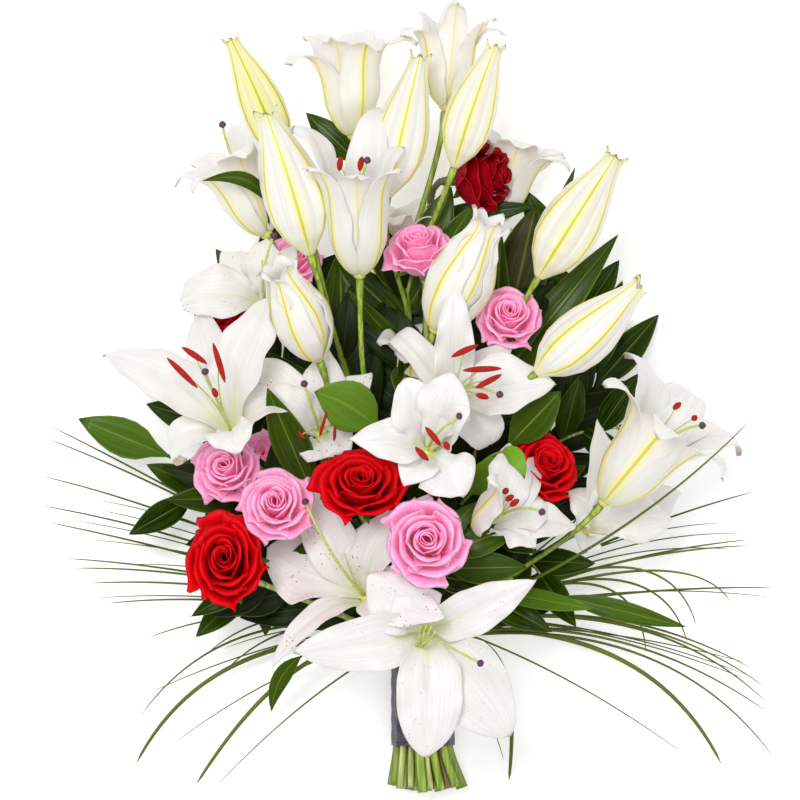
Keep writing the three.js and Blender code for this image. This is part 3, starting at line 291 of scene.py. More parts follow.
# Materials
class Shader:
    """Builds one node material with short calls. body is its colour so far."""

    def __init__(self, name, **sockets):
        self.material = bpy.data.materials.new(name)
        self.material.use_nodes = True
        self.nodes = self.material.node_tree.nodes
        self.surface = self.nodes["Principled BSDF"]
        for key, value in sockets.items():
            self.surface.inputs[key.replace("_", " ")].default_value = value
        across_along = self.node("ShaderNodeUVMap")
        across_along.uv_map = "across_along"
        parts = self.node("ShaderNodeSeparateXYZ")
        self.put(across_along.outputs[0], parts.inputs[0])
        self.across, self.along = parts.outputs[0], parts.outputs[1]
        tone = self.node("ShaderNodeAttribute")
        tone.attribute_name = "tone"
        tones = self.node("ShaderNodeSeparateColor")
        self.put(tone.outputs["Color"], tones.inputs[0])
        self.back, self.shade, self.extra = tones.outputs[:3]
        self.place = self.node("ShaderNodeTexCoord").outputs["Object"]

    def node(self, kind, **sockets):
        made = self.nodes.new(kind)
        for key, value in sockets.items():
            self.put(value, made.inputs[key])
        return made

    def put(self, value, socket):
        if isinstance(value, bpy.types.NodeSocket):
            self.material.node_tree.links.new(value, socket)
        elif isinstance(value, tuple) and len(value) == 3 and socket.type == "RGBA":
            socket.default_value = (*value, 1)
        else:
            socket.default_value = value

    def math(self, operation, a, b=0.0):
        node = self.node("ShaderNodeMath")
        node.operation = operation
        self.put(a, node.inputs[0])
        self.put(b, node.inputs[1])
        return node.outputs[0]

    def times(self, value, *others):
        for other in others:
            value = self.math("MULTIPLY", value, other)
        return value

    def ease(self, value, low, high):
        """0 below low and 1 above high, or the other way round where low is above high."""
        node = self.node("ShaderNodeMapRange", Value=value)
        node.interpolation_type = "SMOOTHSTEP"
        rising = low < high
        ends = {"From Min": min(low, high), "From Max": max(low, high)}
        ends.update({"To Min": not rising, "To Max": rising})
        for name, end in ends.items():
            node.inputs[name].default_value = float(end)
        return node.outputs[0]

    def blend(self, share, a, b):
        node = self.node("ShaderNodeMix")
        node.data_type = "RGBA"
        for value, socket in ((share, 0), (a, 6), (b, 7)):
            self.put(value, node.inputs[socket])
        return node.outputs[2]

    def start(self, value, low, high, dark, light):
        self.body = self.blend(self.ease(value, low, high), dark, light)

    def tint(self, colour, *shares):
        """Lays a colour over the one so far, by the product of the shares."""
        self.body = self.blend(self.times(*shares), self.body, colour)

    def noise(self, scale, detail=2.0, stretch=(1, 1, 1)):
        mapping = self.node("ShaderNodeMapping", Vector=self.place)
        mapping.inputs["Scale"].default_value = stretch
        node = self.node("ShaderNodeTexNoise", Scale=scale, Detail=detail, Vector=mapping.outputs[0])
        return node.outputs[0]

    def streaks(self, count, along_count=3.0):
        """Fine uneven lines that run along a petal or leaf."""
        place = self.node(
            "ShaderNodeCombineXYZ",
            X=self.times(self.across, count),
            Y=self.times(self.along, along_count),
            Z=self.times(self.shade, 40.0),
        )
        return self.node("ShaderNodeTexNoise", Scale=1.0, Detail=2.0, Vector=place.outputs[0]).outputs[0]

    def off_middle(self):
        """How far a place is from the midrib, 0 to 1."""
        return self.times(self.math("ABSOLUTE", self.math("SUBTRACT", self.across, 0.5)), 2)

    def made(self, painted_glow=0.0, height=None, strength=0.0, distance=0.0006):
        """Colours and embosses the surface; the glow is painted light, an emission in the surface's own
        colour that stands for light coming through a petal and lifts its shade.
        """
        self.put(self.body, self.surface.inputs["Base Color"])
        # Painted light: the petal emits its own colour, which lifts its shade
        if painted_glow:
            self.put(self.body, self.surface.inputs["Emission Color"])
            self.surface.inputs["Emission Strength"].default_value = painted_glow
        if height:
            bump = self.node("ShaderNodeBump", Strength=strength, Distance=distance, Height=height)
            self.put(bump.outputs[0], self.surface.inputs["Normal"])
        return self.material


def petal_white(name, cream, inner_ribs):
    """White inside and cream outside, with a yellow-green rib that the outer petals carry most."""
    shader = Shader(name, Roughness=0.5, Subsurface_Weight=0.12, Subsurface_Scale=0.004, Sheen_Weight=0.08)
    ease, along = shader.ease, shader.along
    streaks = shader.streaks(26.0)
    shader.start(streaks, 0.35, 0.7, (0.745, 0.73, 0.71), (0.8, 0.79, 0.775))
    shader.tint((0.71, 0.685, 0.655), ease(shader.noise(70.0, 3.0), 0.35, 0.75), 0.3)
    shader.tint((0.82, 0.79, 0.71), shader.back, cream)
    rib = shader.off_middle()
    front = shader.math("SUBTRACT", 1.0, shader.back)
    throat = shader.math("ADD", 0.35, shader.times(ease(rib, 0.5, 0.0), 0.5))
    shader.tint((0.62, 0.66, 0.26), ease(along, 0.34, 0.04), throat)
    shader.tint((0.66, 0.7, 0.3), ease(rib, 0.09, 0.02), front, ease(along, 0.62, 0.15), 0.5)
    # Painted shade: the margins are greyed so that the petals' edges show against the white table
    shader.tint((0.66, 0.635, 0.61), ease(rib, 0.8, 1.0), 0.35)
    more = shader.times(ease(shader.shade, 0.51, 0.49), 1 - inner_ribs)
    outside = shader.times(shader.back, shader.math("ADD", inner_ribs, more))
    shader.tint((0.86, 0.77, 0.32), ease(rib, 0.3, 0.04), outside, 0.78)
    shader.tint((0.6, 0.58, 0.035), ease(rib, 0.07, 0.025), outside, ease(along, 0.0, 0.05), 0.92)
    shader.tint((0.25, 0.3, 0.08), ease(along, 0.95, 0.99), shader.back, 0.6)
    specks = shader.node("ShaderNodeTexVoronoi", Scale=260.0, Vector=shader.place)
    dots = ease(specks.outputs["Distance"], 0.2, 0.12)
    shader.tint((0.3, 0.13, 0.14), dots, shader.extra, ease(shader.noise(45.0, 1.0), 0.5, 0.6), front)
    return shader.made(0.1, streaks, 0.22)


def bud_white():
    """Cream, with six yellow-green ribs and a seam between each two."""
    shader = Shader("bud_white", Roughness=0.42, Subsurface_Weight=0.1, Subsurface_Scale=0.004)
    ease, along, extra = shader.ease, shader.along, shader.extra
    sixths = shader.math("FRACT", shader.math("ADD", shader.times(shader.across, 6.0), 0.5))
    off = shader.math("ABSOLUTE", shader.math("SUBTRACT", sixths, 0.5))
    streaks = shader.streaks(90.0, 2.0)
    shader.start(streaks, 0.3, 0.75, (0.775, 0.755, 0.7), (0.83, 0.82, 0.785))
    ends = shader.math("MAXIMUM", ease(along, 0.2, 0.0), ease(along, 0.86, 1.0))
    shader.tint((0.7, 0.74, 0.36), ends, 0.6)
    shader.tint((0.8, 0.77, 0.2), extra, shader.math("ADD", 0.55, shader.times(streaks, 0.6)), 0.75)
    yellow = shader.blend(extra, (0.87, 0.79, 0.33), (0.8, 0.72, 0.02))
    shader.tint(yellow, ease(off, 0.3, 0.04), 0.72)
    green = shader.blend(extra, (0.58, 0.58, 0.02), (0.24, 0.36, 0.01))
    shader.tint(green, ease(off, 0.065, 0.025), 0.92)
    shader.tint((0.7, 0.68, 0.5), ease(off, 0.475, 0.495), 0.35)
    shader.tint((0.2, 0.22, 0.04), ease(along, 0.97, 0.99), ease(off, 0.34, 0.16), 0.85)
    return shader.made(0.11, streaks, 0.25)


def rose_petal(name, root, body, rim, painted_glow):
    """Deeper in the fold, lighter towards the rim, with soft veins."""
    sockets = {"Subsurface_Weight": 0.1, "Subsurface_Scale": 0.003, "Specular_IOR_Level": 0.1}
    shader = Shader(name, Roughness=0.55, **sockets)
    ease = shader.ease
    veins = shader.streaks(30.0)
    # Darker towards the root: partly the petal's own deeper colour at its base, partly painted shade in the
    # fold
    shader.start(shader.along, 0.35, 0.9, root, body)
    shader.tint(rim, ease(veins, 0.4, 0.75), 0.3)
    edge = shader.math("MAXIMUM", ease(shader.along, 0.88, 1.0), ease(shader.off_middle(), 0.86, 1.0))
    shader.tint(rim, edge, 0.7)
    shader.tint(rim, ease(shader.extra, 0.2, 1.0), 0.5)
    shader.tint(root, ease(shader.noise(110.0, 3.0), 0.4, 0.7), 0.25)
    return shader.made(painted_glow, veins, 0.4)


def leaf(name, dark, light, rib, roughness):
    """A leaf with a pale midrib and fine veins, lighter underneath."""
    shader = Shader(name, Roughness=roughness, Specular_IOR_Level=0.13)
    veins = shader.streaks(16.0, 2.0)
    shader.start(veins, 0.3, 0.7, dark, light)
    shader.tint(dark, shader.ease(shader.noise(28.0, 2.0), 0.3, 0.7), 0.45)
    shader.tint(light, shader.shade, 0.55)
    off = shader.off_middle()
    shader.tint(rib, shader.ease(off, 0.07, 0.02), 0.6)
    # Painted highlight: the margins are lightened where the leaves' curled edges catch the light
    shader.tint(rib, shader.ease(off, 0.86, 0.97), 0.55)
    shader.tint(rib, shader.math("SUBTRACT", 1.0, shader.back), 0.35)
    # Chosen leaves are lightened by extra: partly their own lighter green, partly painted light on leaves
    # that lie lit on top of the bouquet
    shader.tint((0.2, 0.42, 0.03), shader.extra, 0.9)
    return shader.made(0.0, veins, 0.5)


def stalk(name, low, high, brown):
    """A stem with lengthwise streaks, some of them brown and woody, and painted shade on the sides that turn
    away from the view and on stems low in the tie.
    """
    shader = Shader(name, Roughness=0.45)
    streaks = shader.noise(420.0, 3.0, (1, 0.08, 1))
    shader.start(streaks, 0.35, 0.7, low, high)
    shader.tint(low, shader.ease(shader.noise(60.0, 2.0), 0.5, 0.75), 0.35)
    shader.tint(brown, shader.extra)
    # Painted shade: a near black of the stem's colour, laid on the sides that turn away from the view
    painted_shade = tuple(part * 0.12 for part in low)
    turned = shader.node("ShaderNodeLayerWeight", Blend=0.5)
    shader.tint(painted_shade, shader.ease(turned.outputs["Facing"], 0.16, 0.8), 0.9)
    # Painted shade on stems that lie low in the tie
    shader.tint(painted_shade, shader.shade, 0.8)
    return shader.made(0.0, streaks, 0.3)


def pollen():
    shader = Shader("pollen", Roughness=0.9)
    grains = shader.noise(1600.0, 3.0)
    shader.start(grains, 0.35, 0.65, (0.26, 0.004, 0.002), (0.6, 0.012, 0.004))
    return shader.made(0.0, grains, 0.8, 0.0004)


def filament():
    """Filaments and styles: pale green, the stigma at the end dark purple."""
    shader = Shader("filament", Roughness=0.4)
    shader.start(shader.noise(500.0), 0.3, 0.7, (0.5, 0.58, 0.1), (0.66, 0.7, 0.24))
    shader.tint((0.1, 0.03, 0.08), shader.extra)
    return shader.made()


def satin():
    shader = Shader("ribbon_satin", Roughness=0.33, Sheen_Weight=0.3, Sheen_Roughness=0.3)
    weave = shader.node("ShaderNodeTexWave", Scale=900.0, Distortion=0.6, Vector=shader.place)
    weave.bands_direction = "Y"
    # Painted light: lighter and darker bands stand for the highlights and shade of the satin's folds
    painted_fold_light = shader.noise(120.0, 2.0, (0.3, 1, 1))
    shader.start(painted_fold_light, 0.3, 0.7, (0.018, 0.013, 0.03), (0.06, 0.045, 0.085))
    return shader.made(0.0, weave.outputs[0], 0.25, 0.0003)


def table_top():
    shader = Shader("table_top", Roughness=0.9, Emission_Color=(1, 1, 1, 1), Emission_Strength=0.4)
    shader.body = shader.blend(shader.noise(4.0, 2.0), (0.88, 0.88, 0.88), (0.92, 0.92, 0.92))
    return shader.made()


WHITE = petal_white("petal_white", 0.3, 0.4)
OPENING = petal_white("petal_opening", 0.6, 0.35)
BUD = bud_white()
# The last number of each is its painted glow, an emission that lifts the petals' shade
RED = rose_petal("petal_red", (0.07, 0.0, 0.0008), (0.6, 0.0004, 0.004), (0.88, 0.002, 0.008), 0.05)
CRIMSON = rose_petal("petal_crimson", (0.04, 0.0, 0.001), (0.3, 0.0003, 0.006), (0.5, 0.001, 0.014), 0.04)
PINK = rose_petal("petal_pink", (0.58, 0.01, 0.11), (0.9, 0.24, 0.51), (0.98, 0.56, 0.79), 0.15)
DARK_LEAF = leaf("leaf_dark", (0.004, 0.014, 0.0005), (0.045, 0.092, 0.002), (0.18, 0.26, 0.04), 0.22)
LILY_LEAF = leaf("leaf_lily", (0.007, 0.022, 0.0005), (0.06, 0.11, 0.002), (0.2, 0.3, 0.04), 0.25)
OLIVE_LEAF = leaf("leaf_olive", (0.01, 0.013, 0.0004), (0.055, 0.062, 0.001), (0.2, 0.21, 0.02), 0.35)
# The undergrowth's leaf colours are painted shade: a much darker copy of the others, for leaves deep among
# the stems
PAINTED_SHADE_LEAF = leaf("leaf_painted_shade", (0.002, 0.006, 0.0005), (0.016, 0.034, 0.001), (0.05, 0.08, 0.01), 0.4)
GRASS = leaf("grass", (0.065, 0.09, 0.012), (0.18, 0.24, 0.04), (0.2, 0.24, 0.06), 0.5)
ROSE_STALK = stalk("stalk_rose", (0.34, 0.42, 0.08), (0.8, 0.84, 0.38), (0.34, 0.16, 0.1))
LILY_STALK = stalk("stalk_lily", (0.2, 0.34, 0.02), (0.52, 0.64, 0.09), (0.3, 0.17, 0.1))
POLLEN = pollen()
FILAMENT = filament()
SATIN = satin()


# Petals
LINE_STEPS = 48
CURLED_RIM = 0.86


def arched(u, power, fall=1.0):
    return np.sin(math.pi * within(u) ** power).clip(0, 1) ** fall


def tepal_width(u):
    return 0.16 * (1 - u) + 1.02 * arched(u, 0.86, 0.85)


def round_width(u):
    return np.sin(math.pi * (0.07 + 0.78 * within(u))) ** 0.7


def blunt_width(u):
    """Like a tepal, but broad almost to its tip."""
    return 0.16 * (1 - u) + arched(u, 0.84, 0.58)


def square_width(u):
    """Nearly as broad at its tip as in the middle."""
    near = within(u)
    full = np.sin(math.pi * (0.04 + 0.9 * near**1.1)) ** 0.42
    return 0.12 * (1 - near) + 0.98 * full * (1 - near**9) ** 0.5


def leaf_width(u):
    return 0.1 * (1 - u) + 0.96 * arched(u, 0.8, 0.9)


def petal_surface(
    at, axes, turn, lean, length, width, root_radius=4.0, cup=(1.0, 1.0), cover=1.0, wave=0.0,
    profile=tepal_width, spiral=0.0, roll=0.0, groove=0.0, corner=0.0, pointed=3.0, rim=0.0,
    ruffle=0.0, phase=0.0,
):
    """A petal of a flower at a point. lean holds its angles from the axis, in degrees, from
    root to tip; spiral tucks one edge in, roll turns both edges out, groove sinks the midrib,
    corner rounds off the far corners, the more pointed the lower that power, and rim curls the
    last part of the petal back by that many degrees."""
    along, first, second = axes
    shares = np.linspace(0, 1, LINE_STEPS + 1)

    def leaning(share):
        return np.radians(keyed(lean, share) + rim * within((share - CURLED_RIM) / (1 - CURLED_RIM)))

    angles = leaning((shares[1:] + shares[:-1]) / 2)
    outs = root_radius + np.concatenate([[0], np.cumsum(np.sin(angles))]) * length / LINE_STEPS
    ups = np.concatenate([[0], np.cumsum(np.cos(angles))]) * length / LINE_STEPS
    heading = math.radians(turn)
    outward = first * math.cos(heading) + second * math.sin(heading)
    sideways = np.cross(along, outward)
    origin = vector(at)

    def surface(u, v):
        near = within(u * (1 - corner * np.abs(v) ** pointed))
        out = np.interp(near, shares, outs)
        up = np.interp(near, shares, ups)
        angle = leaning(near)
        half = v * np.minimum(width * profile(u) / 2, cover * np.maximum(out, 3))
        curve = keyed(cup, u) / np.maximum(out, 5)
        turned = half * curve
        small = np.abs(turned) < 1e-4
        safe = np.where(small, 1.0, curve)
        across = np.where(small, half, np.sin(turned) / safe) + curve * arched(u, 1.3)
        rise = np.where(small, 0.0, (1 - np.cos(turned)) / safe)
        rise += wave * v * v * np.sin(TURN * (1.6 * u + 0.13 * turn) + v) * u
        rise += ruffle * np.abs(v) ** 3 * np.sin(TURN * 3.7 * u + phase + 2 * v) * np.sin(math.pi * u)
        rise -= groove * np.exp(-((v / 0.1) ** 2)) * np.sin(math.pi * within(u))
        rise -= roll * np.abs(v) ** 3 * u * u
        inward = along * np.sin(angle)[..., None] - outward * np.cos(angle)[..., None]
        out = out + spiral * v * out
        return (
            origin
            + along * up[..., None]
            + outward * out[..., None]
            + sideways * across[..., None]
            + inward * rise[..., None]
        )

    return surface


# How petals lean away from their flower's axis, in degrees, from root to tip
LEAN = {
    "furled": [50, 20, 2, 4, 26, 84],
    "trumpet": [50, 22, 4, 16, 66, 138],
    "flared": [24, 18, 34, 64, 92, 118],
    "open": [24, 26, 50, 74, 90, 108],
    "flat": [26, 42, 68, 84, 92, 98],
    "rolled": [22, 30, 66, 112, 168, 225],
    "hooked": [22, 30, 60, 84, 128, 205],
    "budding": [54, 24, 4, -18, -20, 40],
    "tall": [20, 14, 24, 40, 60, 90],
    "bulge": [22, 30, 56, 92, 150, 215],
}
LEAN["broad"] = LEAN["apron"] = LEAN["flat"]
OUTER_LEAN = 1.08
# Between what the wave, roll, ruffle and spiral of outer and of inner petals are
OUTER_EDGES = (0.6, 1.2), (0.5, 2.0), (0.8, 1.6), (-0.05, 0.05)
INNER_EDGES = (1.2, 2.4), (1.5, 4.0), (2.0, 3.4), (-0.05, 0.05)


def lily(pile, name, form):
    """Six petals in two rings of three on one base."""
    rng = random.Random(seed_of(name))
    base = vector(form["base"])
    axes = flower_frame(form["axis"])
    for index, (turn, length, width, lean) in enumerate(form["petals"]):
        inner = index % 2
        tube = lean in ("furled", "trumpet", "budding")
        blunt = tube or lean in ("broad", "tall", "bulge")
        wave, roll, ruffle, spiral = (rng.uniform(*span) for span in (INNER_EDGES if inner else OUTER_EDGES))
        rng.random()  # passed over
        phase = rng.uniform(0, 6.28)
        surface = petal_surface(
            base + axes[0] * (6 if inner else 3.5),
            axes,
            turn,
            [angle * (1 if inner else OUTER_LEAN) for angle in LEAN[lean]],
            length,
            width * 1.06,
            root_radius=2.4 if inner else 4.2,
            cup=[1, 1, 0.95, 0.6, 0.5] if tube else [1, 0.9, 0.5, 0.1, 0.6],
            cover=1.12 if tube else 0.98,
            wave=wave,
            profile=square_width if lean == "apron" else blunt_width if blunt else tepal_width,
            groove=1.7,
            roll=roll,
            ruffle=ruffle * (1.5 if lean in ("broad", "tall") else 1.0),
            spiral=spiral,
            phase=phase,
        )
        shade = rng.random() * 0.48
        if inner and lean != "budding":
            shade += 0.52
        pile.blade(surface, LILY_GRID, PETAL, (shade, form.get("specks", 0.0)))
    receptacle(pile, base, axes, 5.2, 10, 0.1)


def receptacle(pile, base, axes, radius, height, share):
    """The swollen end of the stalk, in the petals' colour at a share of their length."""
    angles = np.arange(12)[:, None] / 12 * TURN
    along, first, second = axes
    around = np.cos(angles) * first + np.sin(angles) * second
    outline = (0, 0.42), (0.18, 0.82), (0.45, 1.0), (0.8, 0.8), (1, 0.45)
    pile.rings([base + along * up * height + radius * reach * around for up, reach in outline], (0.5, 0.0))
    pile.uvs[-1][:] = (0.5, share)


BUD_STATIONS = [0, 0.06, 0.14, 0.26, 0.38, 0.5, 0.62, 0.74, 0.84, 0.92, 0.97, 1]
BUD_SWELL = [0.16, 0.38, 0.7, 0.95, 1.0, 0.95, 0.81, 0.62, 0.45, 0.35, 0.32, 0.34]
BUD_LOBES = [0, 0.01, 0.02, 0.03, 0.04, 0.05, 0.06, 0.07, 0.09, 0.14, 0.22, 0.34]
BUD_SIDES = 72
BUD_ROWS = 48
CROWN_DEPTH = 9.0


def bud(pile, name, form):
    """Three outer tepals closed round three inner ones, drawn to a small crown at the tip. At
    turn 30 an outer midrib faces the viewer."""
    rng = random.Random(seed_of(name))
    start = vector(form["base"])
    length = np.linalg.norm(form["axis"])
    along, first, second = flower_frame(form["axis"])
    heading = math.radians(form["turn"])
    first, second = (
        first * math.cos(heading) + second * math.sin(heading),
        second * math.cos(heading) - first * math.sin(heading),
    )
    angles = np.arange(BUD_SIDES) / BUD_SIDES * TURN
    lean = rng.uniform(-1, 1)
    nibs = 0.5 - 0.5 * np.cos(6 * angles) + rng.uniform(0.3, 0.8) * (1 - np.cos(angles * 3 + lean))
    seam = np.exp(-((np.abs(((angles * 6 / TURN) % 1) - 0.5) / 0.06) ** 2))
    stations = np.linspace(0, 1, BUD_ROWS)
    rings = []
    for station in stations:
        middle = math.sin(math.pi * station)
        ribbed = 1 + np.interp(station, BUD_STATIONS, BUD_LOBES) * np.cos(3 * angles)
        ribbed += 0.045 * np.cos(6 * angles) * middle
        ribbed -= 0.05 * seam * middle**0.5
        ribbed += 0.03 * np.sin(2 * angles + 9 * station + lean * 5) * station
        drop = within((station - 0.9) * 10) ** 2 * 3.4 * nibs
        reach = np.interp(station, BUD_STATIONS, BUD_SWELL) * form["width"] / 2 * ribbed
        rings.append(
            start
            + first * lean * 2.2 * middle
            + along * (station * length - drop)[:, None]
            + first * (np.cos(angles) * reach)[:, None]
            + second * (np.sin(angles) * reach)[:, None]
        )
    rim = rings[-1]
    for inward, depth in ((0.82, 0.25), (0.5, 0.8), (0.1, 1.0)):
        rings.append(mix(rim.mean(axis=0), rim, inward) - along * CROWN_DEPTH * depth)
    pile.rings(rings, (rng.random(), form["young"]))
    pile.uvs[-1][:, 1] = np.repeat([*stations, 0.93, 0.8, 0.7], BUD_SIDES)


# Roses: rings of petals that stand like bowls in one another. Each row: how many, and as shares
# of the head's size the seat, radius and height; then half a petal's spread, in radians.
ROSE_RINGS = [
    (2, 0.16, 0.035, 0.57, 2.2),
    (2, 0.15, 0.07, 0.6, 1.9),
    (3, 0.14, 0.105, 0.61, 1.5),
    (3, 0.12, 0.15, 0.62, 1.35),
    (3, 0.1, 0.215, 0.61, 1.3),
    (4, 0.07, 0.3, 0.56, 1.1),
    (5, 0.04, 0.4, 0.47, 0.96),
    (5, 0.02, 0.49, 0.35, 0.9),
]
ROSE_UPRIGHT = [64, 10, -10, -8, 4]
ROSE_BOWL = [84, 26, -4, 0, 34]


def bowl_lean(lean, root_radius, radius, height):
    """Tips the lean and finds the length so that a petal's rim comes to a radius and height."""
    shares = (np.arange(LINE_STEPS) + 0.5) / LINE_STEPS
    low, high = -60.0, 60.0
    for _ in range(30):
        middle = (low + high) / 2
        angles = np.radians(keyed(lean, shares) + middle)
        out, up = np.sin(angles).mean(), np.cos(angles).mean()
        if out * height > up * (radius - root_radius):
            high = middle
        else:
            low = middle
    return [angle + middle for angle in lean], height / max(up, 0.2)


def rose(pile, name, base, axis, size, turn=0.0, oval=1.0):
    rng = random.Random(seed_of(name))
    base = vector(base)
    axes = flower_frame(axis)
    for ring, (count, seat, wide, high, reach) in enumerate(ROSE_RINGS):
        share = ring / (len(ROSE_RINGS) - 1)
        root_radius = mix(0.025, 0.09, share) * size
        keys = [mix(a, b, share) for a, b in zip(ROSE_UPRIGHT, ROSE_BOWL)]
        for petal in range(count):
            radius = wide * size * rng.uniform(0.9, 1.08)
            height = (high - seat) * size * rng.uniform(0.93, 1.05)
            surface = petal_surface(
                base + axes[0] * seat * size,
                axes,
                turn + ring * 49 + petal * 360 / count + rng.uniform(-8, 8),
                *bowl_lean(keys, root_radius, radius, height),
                2.5 * reach * wide * size,
                root_radius=root_radius,
                cup=[1, 1, 1, mix(1.0, 0.6, share)],
                cover=reach,
                profile=round_width,
                spiral=mix(0.22, 0.1, share),
                roll=mix(0.0, 0.15, share * share) * size * rng.uniform(0.6, 1.2),
                rim=mix(20, 74, share),
                ruffle=mix(0.2, 1.6, share),
                corner=mix(0.05, 0.27, share),
                pointed=mix(3.0, 1.35, share),
                phase=rng.uniform(0, 6.28),
            )
            pile.blade(surface, ROSE_GRID, ROSE_PETAL, (rng.random(), share))
    receptacle(pile, base, axes, 0.12 * size, 0.22 * size, 0.3)
    for points in pile.points:
        aside = (points - base) @ axes[1]
        points += aside[:, None] * axes[1] * (oval - 1)


LEAF_STALK = 1.7
LEAF_SINK = 1.5
LEAF_FOLD = math.radians(18.0)


def leaf_surface(root, tip, width, arch, by, bare, wave, twist, phase):
    """A folded leaf from its root to its tip, arched or bent on the way; bare is its stalk's share."""
    start, end = vector(root), vector(tip)
    start = start - unit(end - start) * LEAF_SINK
    middle = (start + end) / 2 + UP * arch if by is None else vector(by)

    def surface(u, v):
        t = within(u)[..., None]
        centre = mix(mix(start, middle, t), mix(middle, end, t), t)
        tangent = mix(middle - start, end - middle, t)
        tangent = tangent / lengths(tangent)
        side = np.cross(tangent, UP)
        side = side / np.maximum(lengths(side), 1e-6)
        over = np.cross(side, tangent)
        angle = np.radians(twist) * (u - 0.3)
        turned, upright = np.cos(angle)[..., None], np.sin(angle)[..., None]
        side, over = side * turned + over * upright, over * turned - side * upright
        blade = leaf_width(within((u - bare) / (1 - bare)))
        half = v * np.maximum(width * blade, LEAF_STALK * (u < bare + 0.1)) / 2
        folded = LEAF_FOLD * np.sin(math.pi * np.clip(u, 0.08, 0.95)) ** 0.4
        lift = np.abs(half) * np.sin(folded) - half * half / (width * 1.6)
        lift = lift + wave * v * np.sin(7 * u + phase)
        return centre + side * (half * np.cos(folded))[..., None] + over * lift[..., None]

    return surface


def trumpet(turn, length, lean, outer=22, inner=30):
    """Six like petals, the outer and the inner ones in turn."""
    return [(turn + k * 60, length, inner if k % 2 else outer, lean) for k in range(6)]


def bud_form(base, tip, width, young=0.0, turn=30.0):
    """A closed bud from its base to its tip; young is how green it still is."""
    axis = vector(tip) - vector(base)
    return {"base": base, "axis": axis, "width": width, "young": young, "turn": turn}


def bloom(base, axis, *petals, specks=0.0):
    return {"base": base, "axis": axis, "petals": petals, "specks": specks}


def grown(at, tip, width, **more):
    """A leaf from a share of its stem to its tip; more says what isn"t as usual."""
    return {"at": at, "tip": tip, "width": width, **more}


# The flowers, where the solids have them. Buds run from base to tip.
BUDS = {
    "lily_bud_1": bud_form((-106, 406, 74), (-147, 499, 92), 34, young=0.85),
    "lily_bud_2": bud_form((-86, 334, 112), (-120, 443, 140), 47),
    "lily_bud_3": bud_form((-28, 378, 92), (-3, 486, 112), 41),
    "lily_bud_4": bud_form((22, 400, 88), (54, 494, 106), 38, young=0.15),
    "lily_bud_5": bud_form((85, 317, 110), (144, 410, 132), 46, young=0.15),
    "lily_bud_6": bud_form((83, 245, 138), (163, 314, 160), 43, turn=4),
}

